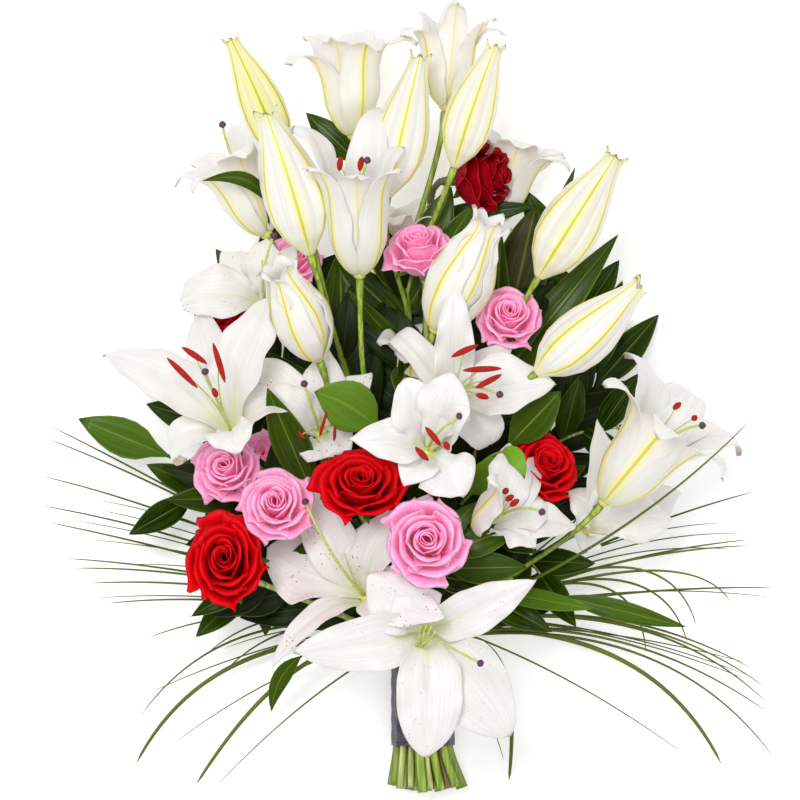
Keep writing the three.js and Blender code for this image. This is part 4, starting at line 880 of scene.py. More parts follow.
# Each lily: base, axis, and rows of turn, length, width and lean. Outer and inner petals alternate.
LILIES = {
    "lily_bud_7": bloom((6, 275, 116), (44, 88, 30), *trumpet(2, 108, "budding", 30, 32)),
    "lily_bud_8": bloom((-79, 254, 122), (-31, 70, 44), *trumpet(6, 94, "budding", 28, 30)),
    "lily_half_open_1": bloom(
        (-49, 316, 108), (-2, 82, 30),
        (316, 110, 32, "furled"), (28, 106, 36, "furled"), (72, 136, 34, "furled"),
        (162, 130, 38, "furled"), (214, 112, 30, "furled"), (270, 104, 38, "furled"),
    ),
    "lily_half_open_2": bloom(
        (-54, 421, 60), (-3, 62, 10),
        (292, 112, 32, "trumpet"), (350, 102, 38, "trumpet"), (78, 106, 32, "trumpet"),
        (128, 100, 38, "trumpet"), (206, 95, 32, "trumpet"), (248, 90, 38, "furled"),
    ),
    "lily_half_open_3": bloom(
        (15, 443, 58), (5, 63, 10),
        (334, 86, 24, "furled"), (18, 82, 28, "trumpet"), (88, 92, 24, "furled"), (150, 78, 26, "furled"),
        (222, 88, 24, "trumpet"), (276, 95, 22, "furled"),
    ),
    "lily_half_open_4": bloom(
        (-118, 347, 66), (-34, 69, 14),
        (346, 100, 28, "trumpet"), (46, 110, 36, "trumpet"), (118, 100, 28, "trumpet"),
        (166, 90, 36, "trumpet"), (226, 95, 28, "trumpet"), (286, 98, 36, "trumpet"),
    ),
    "lily_half_open_5": bloom(
        (132, 146, 108), (59, 71, 18),
        (328, 124, 34, "trumpet"), (30, 130, 48, "trumpet"), (268, 122, 44, "trumpet"),
        (92, 132, 46, "trumpet"), (206, 118, 36, "trumpet"), (150, 132, 46, "trumpet"),
    ),
    "lily_half_open_6": bloom(
        (40, 124, 118), (27, 26, 40),
        (192, 94, 25, "furled"), (88, 80, 34, "flared"), (62, 84, 26, "flared"), (24, 62, 38, "flared"),
        (8, 80, 30, "open"), (330, 50, 34, "flared"),
    ),
    "lily_half_open_7": bloom(
        (118, 126, 52), (0.5, 0.2, 0.75),
        (24, 88, 34, "open"), (46, 70, 36, "flared"), (96, 92, 30, "open"), (150, 52, 34, "flared"),
        (250, 24, 26, "flared"), (8, 76, 36, "flared"),
    ),
    "lily_half_open_8": bloom((50, 356, 26), (13, 42, 3), *trumpet(-26, 90, "trumpet", 26, 36)),
    "lily_open_1": bloom(
        (-142, 194, 106), (-0.26, 0.6, 0.75),
        (20, 78, 28, "rolled"), (60, 127, 40, "open"), (100, 120, 30, "open"), (148, 129, 38, "open"),
        (196, 84, 28, "rolled"), (288, 58, 38, "flared"),
    ),
    "lily_open_2": bloom(
        (-77, 196, 80), (-0.1, 0.3, 0.95),
        (47, 68, 30, "open"), (81, 73, 36, "open"), (134, 100, 32, "hooked"), (140, 66, 28, "flared"),
        (250, 30, 30, "flared"), (320, 40, 36, "flared"), specks=0.8,
    ),
    "lily_open_3": bloom(
        (20, 216, 98), (0.05, 0.42, 0.9),
        (44, 74, 26, "open"), (93, 110, 28, "tall"), (132, 108, 21, "bulge"), (214, 56, 34, "flared"),
        (311, 66, 34, "bulge"), (2, 95, 48, "open"),
    ),
    "lily_open_4": bloom(
        (2, 184, 144), (0.04, 0.3, 0.95),
        (116, 72, 42, "tall"), (181, 74, 32, "open"), (241, 46, 30, "flared"), (301, 50, 46, "broad"),
        (29, 76, 24, "furled"), (66, 78, 46, "tall"),
    ),
    "lily_open_5": bloom(
        (-42, 74, 92), (-0.36, 0.4, 0.84),
        (112, 110, 36, "open"), (150, 90, 62, "broad"), (225, 105, 19, "open"), (330, 96, 40, "flat"),
        (60, 80, 30, "flared"), (39, 109, 34, "open"), specks=1.0,
    ),
    "lily_open_6": bloom(
        (0, 54, 118), (0.08, -0.1, 0.99),
        (189, 108, 38, "broad"), (135, 71, 46, "flat"), (116, 52, 44, "flared"), (27, 101, 31, "flat"),
        (308, 109, 54, "broad"), (270, 104, 46, "apron"), specks=0.4,
    ),
    "lily_open_7": bloom(
        (-118, 292, 62), (-0.14, 0.4, 0.9),
        (62, 56, 26, "open"), (84, 61, 34, "flared"), (127, 60, 34, "open"), (181, 91, 38, "hooked"),
        (258, 28, 26, "open"), (321, 44, 32, "open"), specks=0.6,
    ),
}

# Lilies that stand in the shade between the stems
SHADED = {
    "lily_stem_2_bloom_1": bloom((-22, 306, 30), (-0.08, 0.94, 0.2), *trumpet(-24, 82, "trumpet", 26, 34)),
    "lily_stem_2_bloom_2": bloom((-7, 226, 54), (0.06, 0.9, 0.36), *trumpet(12, 62, "trumpet", 30, 38)),
}

# Flowers that are still of a creamier white
CREAM = [f"lily_half_open_{number}" for number in (2, 3, 4, 5, 8)]

# Each rose: base, axis, size and turn, and how much wider than high an oval one is
ROSES = {
    "rose_red_1": ((26, 391, 44), (0.9, 0.16, 0.4), 66, 40),
    "rose_red_2": ((-49, 153, 142), (0.02, 0.45, 0.89), 60, 20, 1.2),
    "rose_red_3": ((-147, 100, 112), (-0.08, 0.2, 0.97), 76, 50, 0.78),
    "rose_red_4": ((82, 166, 90), (0.36, 0.42, 0.83), 60, 10),
    "rose_pink_1": ((-2, 324, 82), (-0.12, 0.8, 0.58), 56, 35),
    "rose_pink_2": ((61, 280, 90), (0.1, 0.45, 0.88), 52, 0),
    "rose_pink_3": ((-145, 168, 82), (-0.22, 0.3, 0.92), 54, 70),
    "rose_pink_4": ((-110, 142, 118), (-0.08, 0.25, 0.96), 58, 25),
    "rose_pink_5": ((0, 118, 156), (0.04, 0.1, 0.99), 68, 60),
    "rose_red_5": ((-150, 282, 26), (-0.2, 0.5, 0.84), 46, 0),
    "rose_pink_6": ((-98, 322, 42), (0, 0.6, 0.8), 46, 0),
    "rose_pink_7": ((-122, 176, 30), (0, 0.4, 0.9), 46, 0),
}

# Hidden roses, each one piece with its stem
WHOLE = ("rose_red_5", "rose_pink_6", "rose_pink_7")

# Lily stems: neck is the top of the stalk, and each bloom hangs from a share of it
LILY_STEMS = {
    "lily_stem_1": {
        "neck": (-66, 268, 56),
        "blooms": {"lily_bud_1": 1, "lily_bud_2": 0.93, "lily_half_open_4": 0.96, "lily_open_7": 0.88},
        "leaves": [
            grown(0.97, (-90, 442, 56), 22, root=(-54, 408, 58)), grown(0.8, (-120, 262, 40), 22),
            grown(0.97, (-64, 340, 42), 32),
            grown(0.86, (-167, 389, 118), 12, root=(-119, 346, 62), by=(-112, 404, 138), blade=56),
        ],
    },
    "lily_stem_2": {
        "neck": (-14, 318, 52),
        "blooms": {
            "lily_half_open_1": 0.62, "lily_bud_3": 0.92, "lily_bud_4": 0.95, "lily_half_open_2": 0.98,
            "lily_half_open_3": 1,
        },
        "bends": {"lily_half_open_1": (-52, 200, 76)},
        "leaves": [
            grown(0.84, (-58, 308, 80), 14), grown(0.78, (-18, 262, 96), 14, arch=14),
            grown(0.94, (36, 372, 66), 30), grown(0.96, (20, 386, 62), 28, arch=12, blade=60),
            grown(0.84, (-20, 226, 98), 22, arch=20, blade=56), grown(0.9, (-68, 332, 48), 30),
            grown(0.82, (-72, 300, 40), 32), grown(0.97, (-42, 356, 54), 28),
        ],
    },
    "lily_stem_3": {
        "neck": (54, 246, 56),
        "blooms": {"lily_bud_5": 0.97, "lily_bud_6": 0.88, "lily_bud_7": 0.92, "lily_half_open_8": 1},
        "leaves": [
            grown(0.96, (146, 350, 66), 30, arch=16), grown(0.99, (114, 402, 60), 22),
            grown(0.98, (84, 372, 70), 38, arch=12, blade=72, olive=True),
            grown(0.94, (58, 350, 74), 24, arch=12), grown(0.9, (100, 222, 118), 24, arch=22),
        ],
    },
    "lily_stem_4": {
        "neck": (-80, 140, 52),
        "blooms": {"lily_open_1": 1, "lily_open_2": 0.95, "lily_bud_8": 0.9},
        "leaves": [grown(0.98, (-118, 234, 140), 30, arch=10, bare=0.25)],
    },
    "lily_stem_5": {
        "neck": (66, 92, 52),
        "blooms": {"lily_half_open_5": 1, "lily_half_open_6": 0.9, "lily_half_open_7": 0.95},
        "leaves": [
            grown(0.96, (197, 54, 70), 17, arch=16, blade=92, bright=0.12),
            grown(0.9, (128, 68, 96), 16, arch=24, bright=0.3), grown(0.86, (96, 50, 64), 24, arch=14),
        ],
    },
    "lily_stem_6": {
        "neck": (-12, 52, 84),
        "blooms": {"lily_open_5": 0.92, "lily_open_6": 1},
        "leaves": [grown(0.9, (-116, -11, 40), 14, by=(-112, 52, 66), blade=52)],
    },
    "lily_stem_7": {
        "neck": (14, 150, 78),
        "blooms": {"lily_open_3": 1, "lily_open_4": 0.92},
        "leaves": [
            grown(0.9, (60, 184, 116), 24, arch=12, bright=0.9, blade=46),
            grown(0.95, (102, 232, 126), 30, arch=20, blade=56),
            grown(0.97, (74, 166, 174), 14, by=(64, 216, 182), bright=0.9, blade=50),
            grown(0.93, (-83, 231, 134), 40, by=(-30, 219, 136), bright=0.5, blade=66),
            grown(0.8, (-38, 100, 76), 18, arch=14),
        ],
    },
}

ROSE_LEAVES = {
    "rose_red_1": [grown(0.9, (84, 372, 44), 20)],
    "rose_red_2": [grown(0.86, (-100, 110, 92), 22)],
    "rose_red_3": [grown(0.86, (-176, 62, 84), 18)],
    "rose_red_4": [grown(0.88, (122, 176, 76), 24), grown(0.8, (84, 110, 92), 26, arch=16)],
    "rose_pink_1": [grown(0.9, (30, 344, 60), 22)],
    "rose_pink_2": [grown(0.9, (96, 300, 66), 22)],
    "rose_pink_3": [grown(0.88, (-196, 150, 74), 24)],
    "rose_pink_4": [grown(0.88, (-172, 134, 100), 16, arch=20)],
    "rose_pink_5": [
        grown(0.84, (72, 132, 118), 26, arch=22, bright=0.05, blade=56),
        grown(0.8, (76, 100, 116), 26, arch=22, bright=0.04, blade=56),
        grown(0.86, (40, 150, 132), 15, arch=20, bright=0.12, blade=40),
        grown(0.78, (52, 84, 112), 22, arch=18, blade=46),
    ],
}

# Twigs of the greenery: the share they start at, where they end, and how many leaves
RUSCUS = {
    "ruscus_left": {
        "neck": (-140, 236, 16),
        "twigs": [(0.72, (-184, 146, 40), 5), (0.56, (-140, 78, 36), 4), (0.9, (-120, 330, 14), 4)],
        "leaves": [
            grown(0.62, (-262, 211, 52), 30, arch=18, blade=66, bright=0.3),
            grown(0.8, (-216, 250, 2), 26, arch=12, blade=70),
            grown(0.86, (-84, 306, 2), 26, arch=12, blade=70),
            grown(0.74, (-46, 250, 2), 26, arch=14, blade=70), grown(1, (-176, 300, 20), 26),
            grown(0.84, (-211, 222, 34), 28, arch=12, blade=62),
            grown(0.76, (-186, 176, 40), 28, arch=12, blade=60),
        ],
    },
    "ruscus_right": {
        "neck": (128, 250, 18),
        "twigs": [(0.76, (166, 204, 36), 5), (0.56, (88, 92, 34), 4), (0.92, (96, 344, 20), 4)],
        "leaves": [
            grown(0.68, (186, 150, 2), 26, arch=14, blade=70),
            grown(0.84, (178, 290, 2), 26, arch=12, blade=70),
            grown(0.8, (60, 300, 2), 26, arch=12, blade=70),
            grown(0.66, (30, 214, 2), 26, arch=14, blade=70), grown(1, (150, 316, 24), 26),
        ],
    },
}

# Bear grass: where each blade ends, and blades that bend over a point on the way
GRASS_TUFTS = {
    "bear_grass_left": {
        "neck": (-46, 74, 10),
        "tips": [
            (-283, 205, 30), (-285, 196, 60), (-289, 167, 24), (-289, 145, 44), (-285, 132, 16),
            (-272, 105, 30), (-266, 98, 52), (-255, 86, 20), (-241, 71, 36), (-209, 45, 14),
            (-215, -14, 30), (-164, 34, 50), (-152, 19, 12), (-219, -51, 20), (-173, -66, 40),
        ],
    },
    "bear_grass_right": {
        "neck": (46, 74, 10),
        "tips": [
            (242, 210, 172), (248, 155, 22), (245, 115, 52), (246, 119, 16), (264, 83, 34), (257, 8, 56),
            (259, -4, 20), (247, 22, 40), (225, -51, 18), (258, -10, 66), (264, -45, 30), (64, -64, 12),
        ],
        "arcs": [
            ((182, 136, 62), (206, 54, 20)), ((176, 122, 58), (199, 42, 16)),
            ((200, 122, 50), (232, 72, 18)), ((160, 118, 56), (168, 34, 14)),
        ],
    },
}

# Stamens: each anther runs between two points, and its filament comes up from the throat. Bare
# filaments show no anther. The style bows out of the throat to its stigma.
THROAT_HEIGHT = 12.5
STAMENS = {
    "lily_open_1": {
        "node": "stamens_1",
        "anthers": [
            ((-192.5, 256.5, 160), (-169.5, 234, 166)), ((-181.5, 264.5, 162), (-162.5, 252, 168)),
            ((-158, 267.5, 166), (-149, 238, 170)), ((-158, 234, 172), (-155, 227, 168)),
        ],
        "stigma": (-163.5, 245.5, 176),
    },
    "lily_open_3": {
        "node": "stamens_2",
        "anthers": [
            ((19.5, 257, 158), (39.5, 266, 160)), ((28, 247, 166), (57, 248.5, 166)),
            ((37.5, 234, 170), (57, 244, 172)), ((37.5, 229, 172), (47.5, 226.5, 170)),
        ],
        "stigma": (54.5, 229.5, 176),
    },
    "lily_open_4": {
        "node": "stamens_3",
        "anthers": [
            ((0, 205, 192), (11.5, 191, 192)), ((-7.5, 190, 194), (2.5, 180, 192)),
            ((14, 194, 192), (17.5, 188, 192)),
        ],
        "stigma": (24.5, 212.5, 200),
    },
    "lily_open_6": {
        "node": "stamens_4",
        "bare": [(-3, 57, 166), (1, 58, 166), (5, 57, 166), (-1, 52, 168), (8, 53, 166)],
        "throat": (-8, 41, 134),
        "stigma": (40, 30, 186),
    },
    "lily_open_2": {
        "anthers": [
            ((-73.5, 217, 132), (-79, 197, 128)), ((-67.5, 206, 132), (-68, 194, 130)),
            ((-95, 202, 124), (-90, 196, 126)), ((-54.5, 215, 112), (-54, 208, 112)),
        ],
        "thin": 0.55,
        "stigma": (-90, 236, 140),
    },
    "lily_open_5": {"bare": [(-66, 104, 136), (-60, 110, 138)], "stigma": (-89, 148, 150)},
    "lily_open_7": {"bare": [(-122, 330, 104), (-112, 332, 104)], "stigma": (-114, 347, 112)},
    "lily_half_open_1": {
        "anthers": [((-64, 396, 140), (-63, 407, 142)), ((-49, 396, 142), (-47, 407, 144))],
        "stigma": (-43.5, 403, 148),
    },
    "lily_half_open_4": {"stigma": (-152, 431, 96)},
    "lily_half_open_5": {
        "anthers": [((185, 218, 150), (191, 223, 152)), ((199, 210, 150), (203, 213, 150))],
        "stigma": (206, 206, 152),
    },
    "lily_half_open_6": {
        "anthers": [
            ((60, 150, 166), (66, 154, 168)), ((63, 146, 168), (70, 151, 170)),
            ((58, 155, 166), (62, 159, 166)),
        ],
        "stigma": (86, 142, 172),
    },
}


# Stems
def spread_at(y):
    past = max(0.0, y - TIE_HIGH)
    return math.hypot(past, TIE_SPREAD) - TIE_SPREAD


PACK_ROUNDS = 1500
PULL_ROUNDS = 1100
PULL = 0.012
PACK_CLEARANCE = 0.5
TIE_FLOOR = RIBBON_THICKNESS + GAP


def pack_tie(stems):
    """Each stem's place in the tie follows its direction; overlaps are then pushed apart."""
    slopes = []
    for stem in stems:
        spread = spread_at(stem["neck"][1])
        slopes.append((stem["neck"][0] / spread, stem["neck"][2] / spread))
    mean_rise = sum(min(rise, 3) for _, rise in slopes) / len(slopes)
    wanted = []
    for aside, rise in slopes:
        lifted = rise - mean_rise
        reach = BUNDLE_REACH / (0.8 + math.hypot(aside, lifted))
        wanted.append((aside * reach, BUNDLE_CENTRE + 2 + lifted * reach * 0.7))
    places = [list(place) for place in wanted]
    count = len(stems)
    for turn in range(PACK_ROUNDS):
        pull = PULL if turn < PULL_ROUNDS else 0.0
        for place, (aside, rise) in zip(places, wanted):
            place[0] += (-place[0] * 0.6 + (aside - place[0]) * 0.3) * pull
            place[1] += ((BUNDLE_CENTRE - place[1]) * 0.6 + (rise - place[1]) * 0.3) * pull
        for one in range(count):
            for two in range(one + 1, count):
                across = places[two][0] - places[one][0]
                rise = places[two][1] - places[one][1]
                distance = math.hypot(across, rise) or 0.01
                needed = stems[one]["radius"] + stems[two]["radius"] + PACK_CLEARANCE
                if needed > distance:
                    push = (needed - distance) / distance * 0.5
                    places[one][0] -= across * push
                    places[one][1] -= rise * push
                    places[two][0] += across * push
                    places[two][1] += rise * push
        for place, stem in zip(places, stems):
            place[1] = max(place[1], TIE_FLOOR + stem["radius"])
    return places


def stem_path(neck, place, end, uneven):
    """Bundled through the tie, fanned above it, and turned to the flower's axis."""
    aside, up = place
    spread = spread_at(neck[1])
    slope = ((neck[0] - aside) / spread, (neck[2] - up) / spread)
    low = BUNDLE_CENTRE + (up - BUNDLE_CENTRE) * 1.05
    points = [
        (aside * FLARE + LEANING, CUT_Y + uneven, max(low, up)),
        (aside, TIE_LOW, up),
        (aside, RIBBON_HIGH - 2, up),
        (aside, TIE_HIGH, up),
    ]
    for part in (0.16, 0.34, 0.56, 0.78, 1):
        y = mix(TIE_HIGH, neck[1], part)
        fan = spread_at(y)
        points.append((aside + slope[0] * fan, y, up + slope[1] * fan))
    return spline(points if end is None else [*points, end])


# Stems low in the tie lie in the shade; roses' stems on its right are brown
DIM_BELOW = 16.0
DIM_SPAN = 12.0
WOODY_FROM = 9.0
WOODY = 0.8
OTHER_STEMS = (LILY_STEMS, LILY_STEM_RADIUS), (RUSCUS, RUSCUS_STEM_RADIUS), (GRASS_TUFTS, TUFT_RADIUS)


def make_stems():
    stems = []
    for name, (base, axis, *_) in ROSES.items():
        axis = unit(vector(axis))
        neck, end = vector(base) - axis * NECK, vector(base) - axis * SEAT
        stems.append({"name": name, "radius": ROSE_STEM_RADIUS, "neck": neck, "end": end})
    for forms, radius in OTHER_STEMS:
        for name, form in forms.items():
            stems.append({"name": name, "radius": radius, "neck": form["neck"], "end": None})
    for stem, place in zip(stems, pack_tie(stems)):
        stem["place"] = place
        uneven = UNEVEN_CUT * abs(math.sin(3.1 * place[0] + place[1])) + ROUNDED_CUT * place[0] ** 2
        stem["path"] = stem_path(stem["neck"], place, stem["end"], uneven)
        dim = float(within((DIM_BELOW - place[1]) / DIM_SPAN))
        woody = "rose" in stem["name"] and place[0] > WOODY_FROM
        stem["tone"] = (dim, WOODY if woody else 0.0)
    return {stem["name"]: stem for stem in stems}


stems = make_stems()


# How stalks swell under a flower: from which share of their length, and how much
ROSE_SWELLING = (0.975, 1.5)
LILY_SWELLING = (0.93, 1.35)


def swollen(radius, start, size):
    return lambda t: radius * (1 if t < start else size)


def tapered(radius, end):
    """A radius that shrinks to a share of itself at the end."""
    return lambda t: radius * mix(1, end, t)


# Camera: over the middle of the bouquet, looking straight down at the side that shows
VIEW_CENTRE = (-18.75 * MM, 225 * MM)
VIEW_DEPTH = 110 * MM
VIEW_WIDTH = 600 * MM
VIEW_DISTANCE = 8.0
SENSOR = 36.0
SKY_STRENGTH = 0.52
LIT_PLACE = (0.0, 0.2, 0.1)
HALF_FLOOR = 4.0
FLOOR_LOW = -0.0005


def make_camera():
    data = bpy.data.cameras.new("camera")
    data.sensor_width = SENSOR
    data.lens = SENSOR * VIEW_DISTANCE / VIEW_WIDTH
    data.clip_end = 40
    camera = shown("camera", data)
    camera.location = (*VIEW_CENTRE, VIEW_DEPTH + VIEW_DISTANCE)
    bpy.context.scene.camera = camera


def make_light(name, size, power, place):
    data = bpy.data.lights.new(name, "AREA")
    data.shape = "DISK"
    data.size = size
    data.energy = power
    light = shown(name, data)
    light.location = place
    toward = Vector(LIT_PLACE) - Vector(place)
    light.rotation_euler = toward.to_track_quat("-Z", "Y").to_euler()


def make_studio():
    world = bpy.data.worlds.new("studio")
    world.use_nodes = True
    sky = world.node_tree.nodes["Background"].inputs
    sky["Color"].default_value = (1, 1, 1, 1)
    sky["Strength"].default_value = SKY_STRENGTH
    bpy.context.scene.world = world
    bpy.context.scene.view_settings.view_transform = "Standard"
    make_light("key", 1.1, 40, (-0.6, 0.85, 2.7))
    make_light("fill", 1.6, 11, (1.0, -0.5, 2.3))
    mesh = bpy.data.meshes.new("floor")
    corners = [(x * HALF_FLOOR, y * HALF_FLOOR, 0) for x, y in ((-1, -1), (1, -1), (1, 1), (-1, 1))]
    mesh.from_pydata(corners, [], [(0, 1, 2, 3)])
    mesh.materials.append(table_top())
    floor = shown("floor", mesh)
    floor.location.z = FLOOR_LOW


make_camera()
make_studio()


# Building
def make_lilies():
    for name, form in BUDS.items():
        pile = Pile()
        bud(pile, name, form)
        pile.piece(name + "_petals", BUD, name)
    for name, form in LILIES.items():
        pile = Pile()
        lily(pile, name, form)
        material = OPENING if "bud" in name or name in CREAM else WHITE
        pile.piece(name + "_petals", material, name)


def make_shaded():
    for name, form in SHADED.items():
        pile = Pile()
        lily(pile, name, form)
        pile.piece(name, WHITE, name.split("_bloom")[0])


def anther_radius(t):
    return 0.35 + 2.0 * math.sin(math.pi * min(max(t, 0), 1)) ** 0.6


def make_stamens():
    for flower, form in STAMENS.items():
        axes = flower_frame(LILIES[flower]["axis"])
        foot = vector(LILIES[flower]["base"]) + axes[0] * THROAT_HEIGHT
        node = form.get("node", flower)
        filaments = Pile()
        anthers = Pile()

        def fine_stalk(start, end, rise, widths, *grid):
            """A thin stalk that leaves its start along the flower's axis."""
            path = bezier(start, start + axes[0] * np.linalg.norm(end - start) * rise, end)
            filaments.tube(path, lambda t: mix(*widths, t), *grid)
            return path

        for start, end in form.get("anthers", []):
            start, end = vector(start), vector(end)
            middle = (start + end) / 2
            fine_stalk(foot, middle, 0.6, (0.9, 0.5), 6, 10)
            bow = middle + unit(middle - foot) * 1.2
            plump = form.get("thin", 1.0)
            anthers.tube(bezier(start, bow, end), lambda t: anther_radius(t) * plump, 8, 9, flat=0.8)
        for number, tip in enumerate(form.get("bare", [])):
            throat = vector(form.get("throat", foot)) + np.array([1.4 * number, 0.0, 0.0])
            fine_stalk(throat, vector(tip), 0.5, (1.1, 0.6), 6, 8)
        stigma = vector(form["stigma"])
        style = fine_stalk(foot, stigma, 0.7, (1.2, 1.0), 8, 16)
        ahead = style.tangent(0.99)
        knob = bezier(stigma - ahead * 1.2, stigma + ahead * 1.6, stigma + ahead * 3.4)
        filaments.tube(knob, lambda t: 1.3 + 1.7 * math.sin(math.pi * min(t, 0.9)), 9, 6, (0.0, 1.0))
        filaments.piece(flower + "_styles", FILAMENT, node)
        if anthers.count:
            anthers.piece(flower + "_anthers", POLLEN, node)


def make_roses():
    for name, form in ROSES.items():
        base, axis, size = form[:3]
        stem, seed = stems[name], seed_of(name)
        red = "red" in name
        velvet = CRIMSON if name == "rose_red_1" else RED if red else PINK
        pile = Pile()
        rose(pile, name, *form)
        pile.piece(name + "_petals", velvet, name)
        carrier = name if name in WHOLE else name.replace("rose_", "rose_stem_")
        green = Pile()
        green.tube(stem["path"], swollen(stem["radius"], *ROSE_SWELLING), 10, 60, stem["tone"])
        green.piece(carrier + "_stalk", ROSE_STALK, carrier)
        leaves = Pile()
        sepals(leaves, base, axis, size, seed)
        add_leaves(leaves, stem, ROSE_LEAVES.get(name, []), seed)
        leaves.piece(carrier + "_leaves", DARK_LEAF, carrier)
        undergrowth(carrier, stem, seed, 62, 27)


def sepals(pile, base, axis, size, seed):
    """Five narrow sepals under a rose."""
    rng = random.Random(seed)
    axes = flower_frame(axis)
    for index in range(5):
        surface = petal_surface(
            vector(base) - axes[0] * 1.0,
            axes,
            index * 72 + rng.uniform(-12, 12),
            [86, 62, 70, 96, 124],
            0.42 * size,
            0.13 * size,
            root_radius=1.5,
            cup=[1, 0.5],
        )
        pile.blade(surface, SEPAL_GRID, SEPAL, (0.3, 0.0))


def add_leaf(pile, path, form, seed):
    rng = random.Random(seed)
    root = vector(form["root"]) if "root" in form else path.at(min(form["at"], 0.985))
    long = np.linalg.norm(vector(form["tip"]) - root)
    surface = leaf_surface(
        root,
        form["tip"],
        form["width"],
        arch=form.get("arch", 8),
        by=form.get("by"),
        bare=form.get("bare", max(0.0, 1 - form.get("blade", 200) / long)),
        wave=rng.uniform(0.3, 1.2),
        twist=rng.uniform(-25, 25),
        phase=rng.uniform(0, 6.28),
    )
    pile.blade(surface, LEAF_GRID, LEAF, (rng.random(), form.get("bright", 0.0)))


def add_leaves(pile, stem, forms, seed, other=None):
    """The leaves of a stem; olive ones go into the other pile."""
    for index, form in enumerate(forms):
        add_leaf(other if form.get("olive") else pile, stem["path"], form, seed + index)


def pedicel(stem, share, form, bend):
    """From a share of its stem to a flower, by way of a bend where it has one."""
    axis = unit(vector(form["axis"]))
    start = stem["path"].at(share)
    end = vector(form["base"]) - axis * SEAT
    span = np.linalg.norm(end - start)
    along = stem["path"].tangent(share)
    return bezier(start, bend or start + along * span * 0.2, end - axis * span * 0.35, end)


CROWDED = ("lily_stem_1", "lily_stem_2")


def make_lily_stems():
    for name, form in LILY_STEMS.items():
        stem, seed = stems[name], seed_of(name)
        green = Pile()
        green.tube(stem["path"], tapered(stem["radius"], 0.8), 12, 60, stem["tone"])
        for flower, share in form["blooms"].items():
            bend = form.get("bends", {}).get(flower)
            path = pedicel(stem, share, BUDS.get(flower) or LILIES[flower], bend)
            green.tube(path, swollen(PEDICEL_RADIUS, *LILY_SWELLING), 8, 18)
        green.piece(name + "_stalk", LILY_STALK, name)
        leaves = Pile()
        olive = Pile()
        add_leaves(leaves, stem, form["leaves"], seed, olive)
        leaves.piece(name + "_leaves", LILY_LEAF, name)
        if olive.count:
            olive.piece(name + "_olive_leaves", OLIVE_LEAF, name)
        wide, count = (24, 34) if name in CROWDED else (18, 18)
        undergrowth(name, stem, seed, 66, wide, count)


def make_ruscus():
    for name, form in RUSCUS.items():
        stem, seed = stems[name], seed_of(name)
        green = Pile()
        leaves = Pile()
        green.tube(stem["path"], tapered(stem["radius"], 0.75), 8, 50)
        add_leaves(leaves, stem, form["leaves"], seed)
        for index, (at, end, count) in enumerate(form["twigs"]):
            start, end = stem["path"].at(at), vector(end)
            along = stem["path"].tangent(at)
            path = bezier(start, start + along * np.linalg.norm(end - start) * 0.4, end)
            green.tube(path, tapered(TWIG_RADIUS, 0.7), 6, 16)
            for number in range(count):
                share = mix(0.3, 0.96, number / (count - 1))
                ahead = path.tangent(min(share, 0.98))
                side = unit(np.cross(ahead, UP))
                hand = 0 if number == count - 1 else (1 if number % 2 else -1)
                root = path.at(share)
                tip = root + ahead * (34 if hand else 52) + side * hand * 38 + UP * (8 + 5 * hand)
                add_leaf(leaves, path, grown(share, tip, 22, arch=6), seed + 10 * index + number)
        green.piece(name + "_twigs", ROSE_STALK, name)
        leaves.piece(name + "_leaves", DARK_LEAF, name)
        undergrowth(name, stem, seed, 50, 26)


# Where undergrowth may show: corners of the region, in millimetres
THICKET = [
    (-228, 210), (-195, 246), (-130, 276), (-108, 322), (-62, 348), (-36, 366), (6, 380), (72, 382),
    (100, 378), (146, 352), (160, 284), (178, 226), (140, 150), (160, 76), (132, 48), (40, 62),
    (-20, 62), (-90, 50), (-170, 62), (-222, 134),
]
LOWEST_TIP = 6.0


def inside_thicket(point):
    x, y = point[:2]
    inside = False
    for (x1, y1), (x2, y2) in zip(THICKET, THICKET[1:] + THICKET[:1]):
        if (y1 > y) != (y2 > y) and x < x1 + (y - y1) / (y2 - y1) * (x2 - x1):
            inside = not inside
    return inside


def undergrowth(carrier, stem, seed, top, wide, count=18):
    """Leaves up a stem, in turn to its sides, as long as they stay among the flowers; their dark colours are
    painted shade.
    """
    rng = random.Random(seed * 7 + 1)
    path = stem["path"]
    pile = Pile()
    for number in range(count):
        share = rng.uniform(0.42, 0.97)
        ahead = path.tangent(share)
        root = path.at(share)
        angle = math.radians(rng.uniform(12, 62) * (1 if number % 2 else -1))
        flat = unit(np.array([ahead[0], ahead[1], 0.0]))
        out = flat * math.cos(angle) + np.cross(UP, flat) * math.sin(angle)
        tip = root + out * rng.uniform(46, 72)
        tip[2] = max(LOWEST_TIP, min(top, root[2] + rng.uniform(-22, 14)))
        if inside_thicket(tip) and inside_thicket((root + tip) / 2):
            one = grown(share, tip, rng.uniform(0.8, 1.15) * wide, arch=rng.uniform(4, 14))
            add_leaf(pile, path, one, seed + 31 * number)
    if pile.count:
        # Painted shade: the dark copy of the leaf colours
        pile.piece(carrier + "_undergrowth", PAINTED_SHADE_LEAF, carrier)


BLADE_FLAT = 0.45


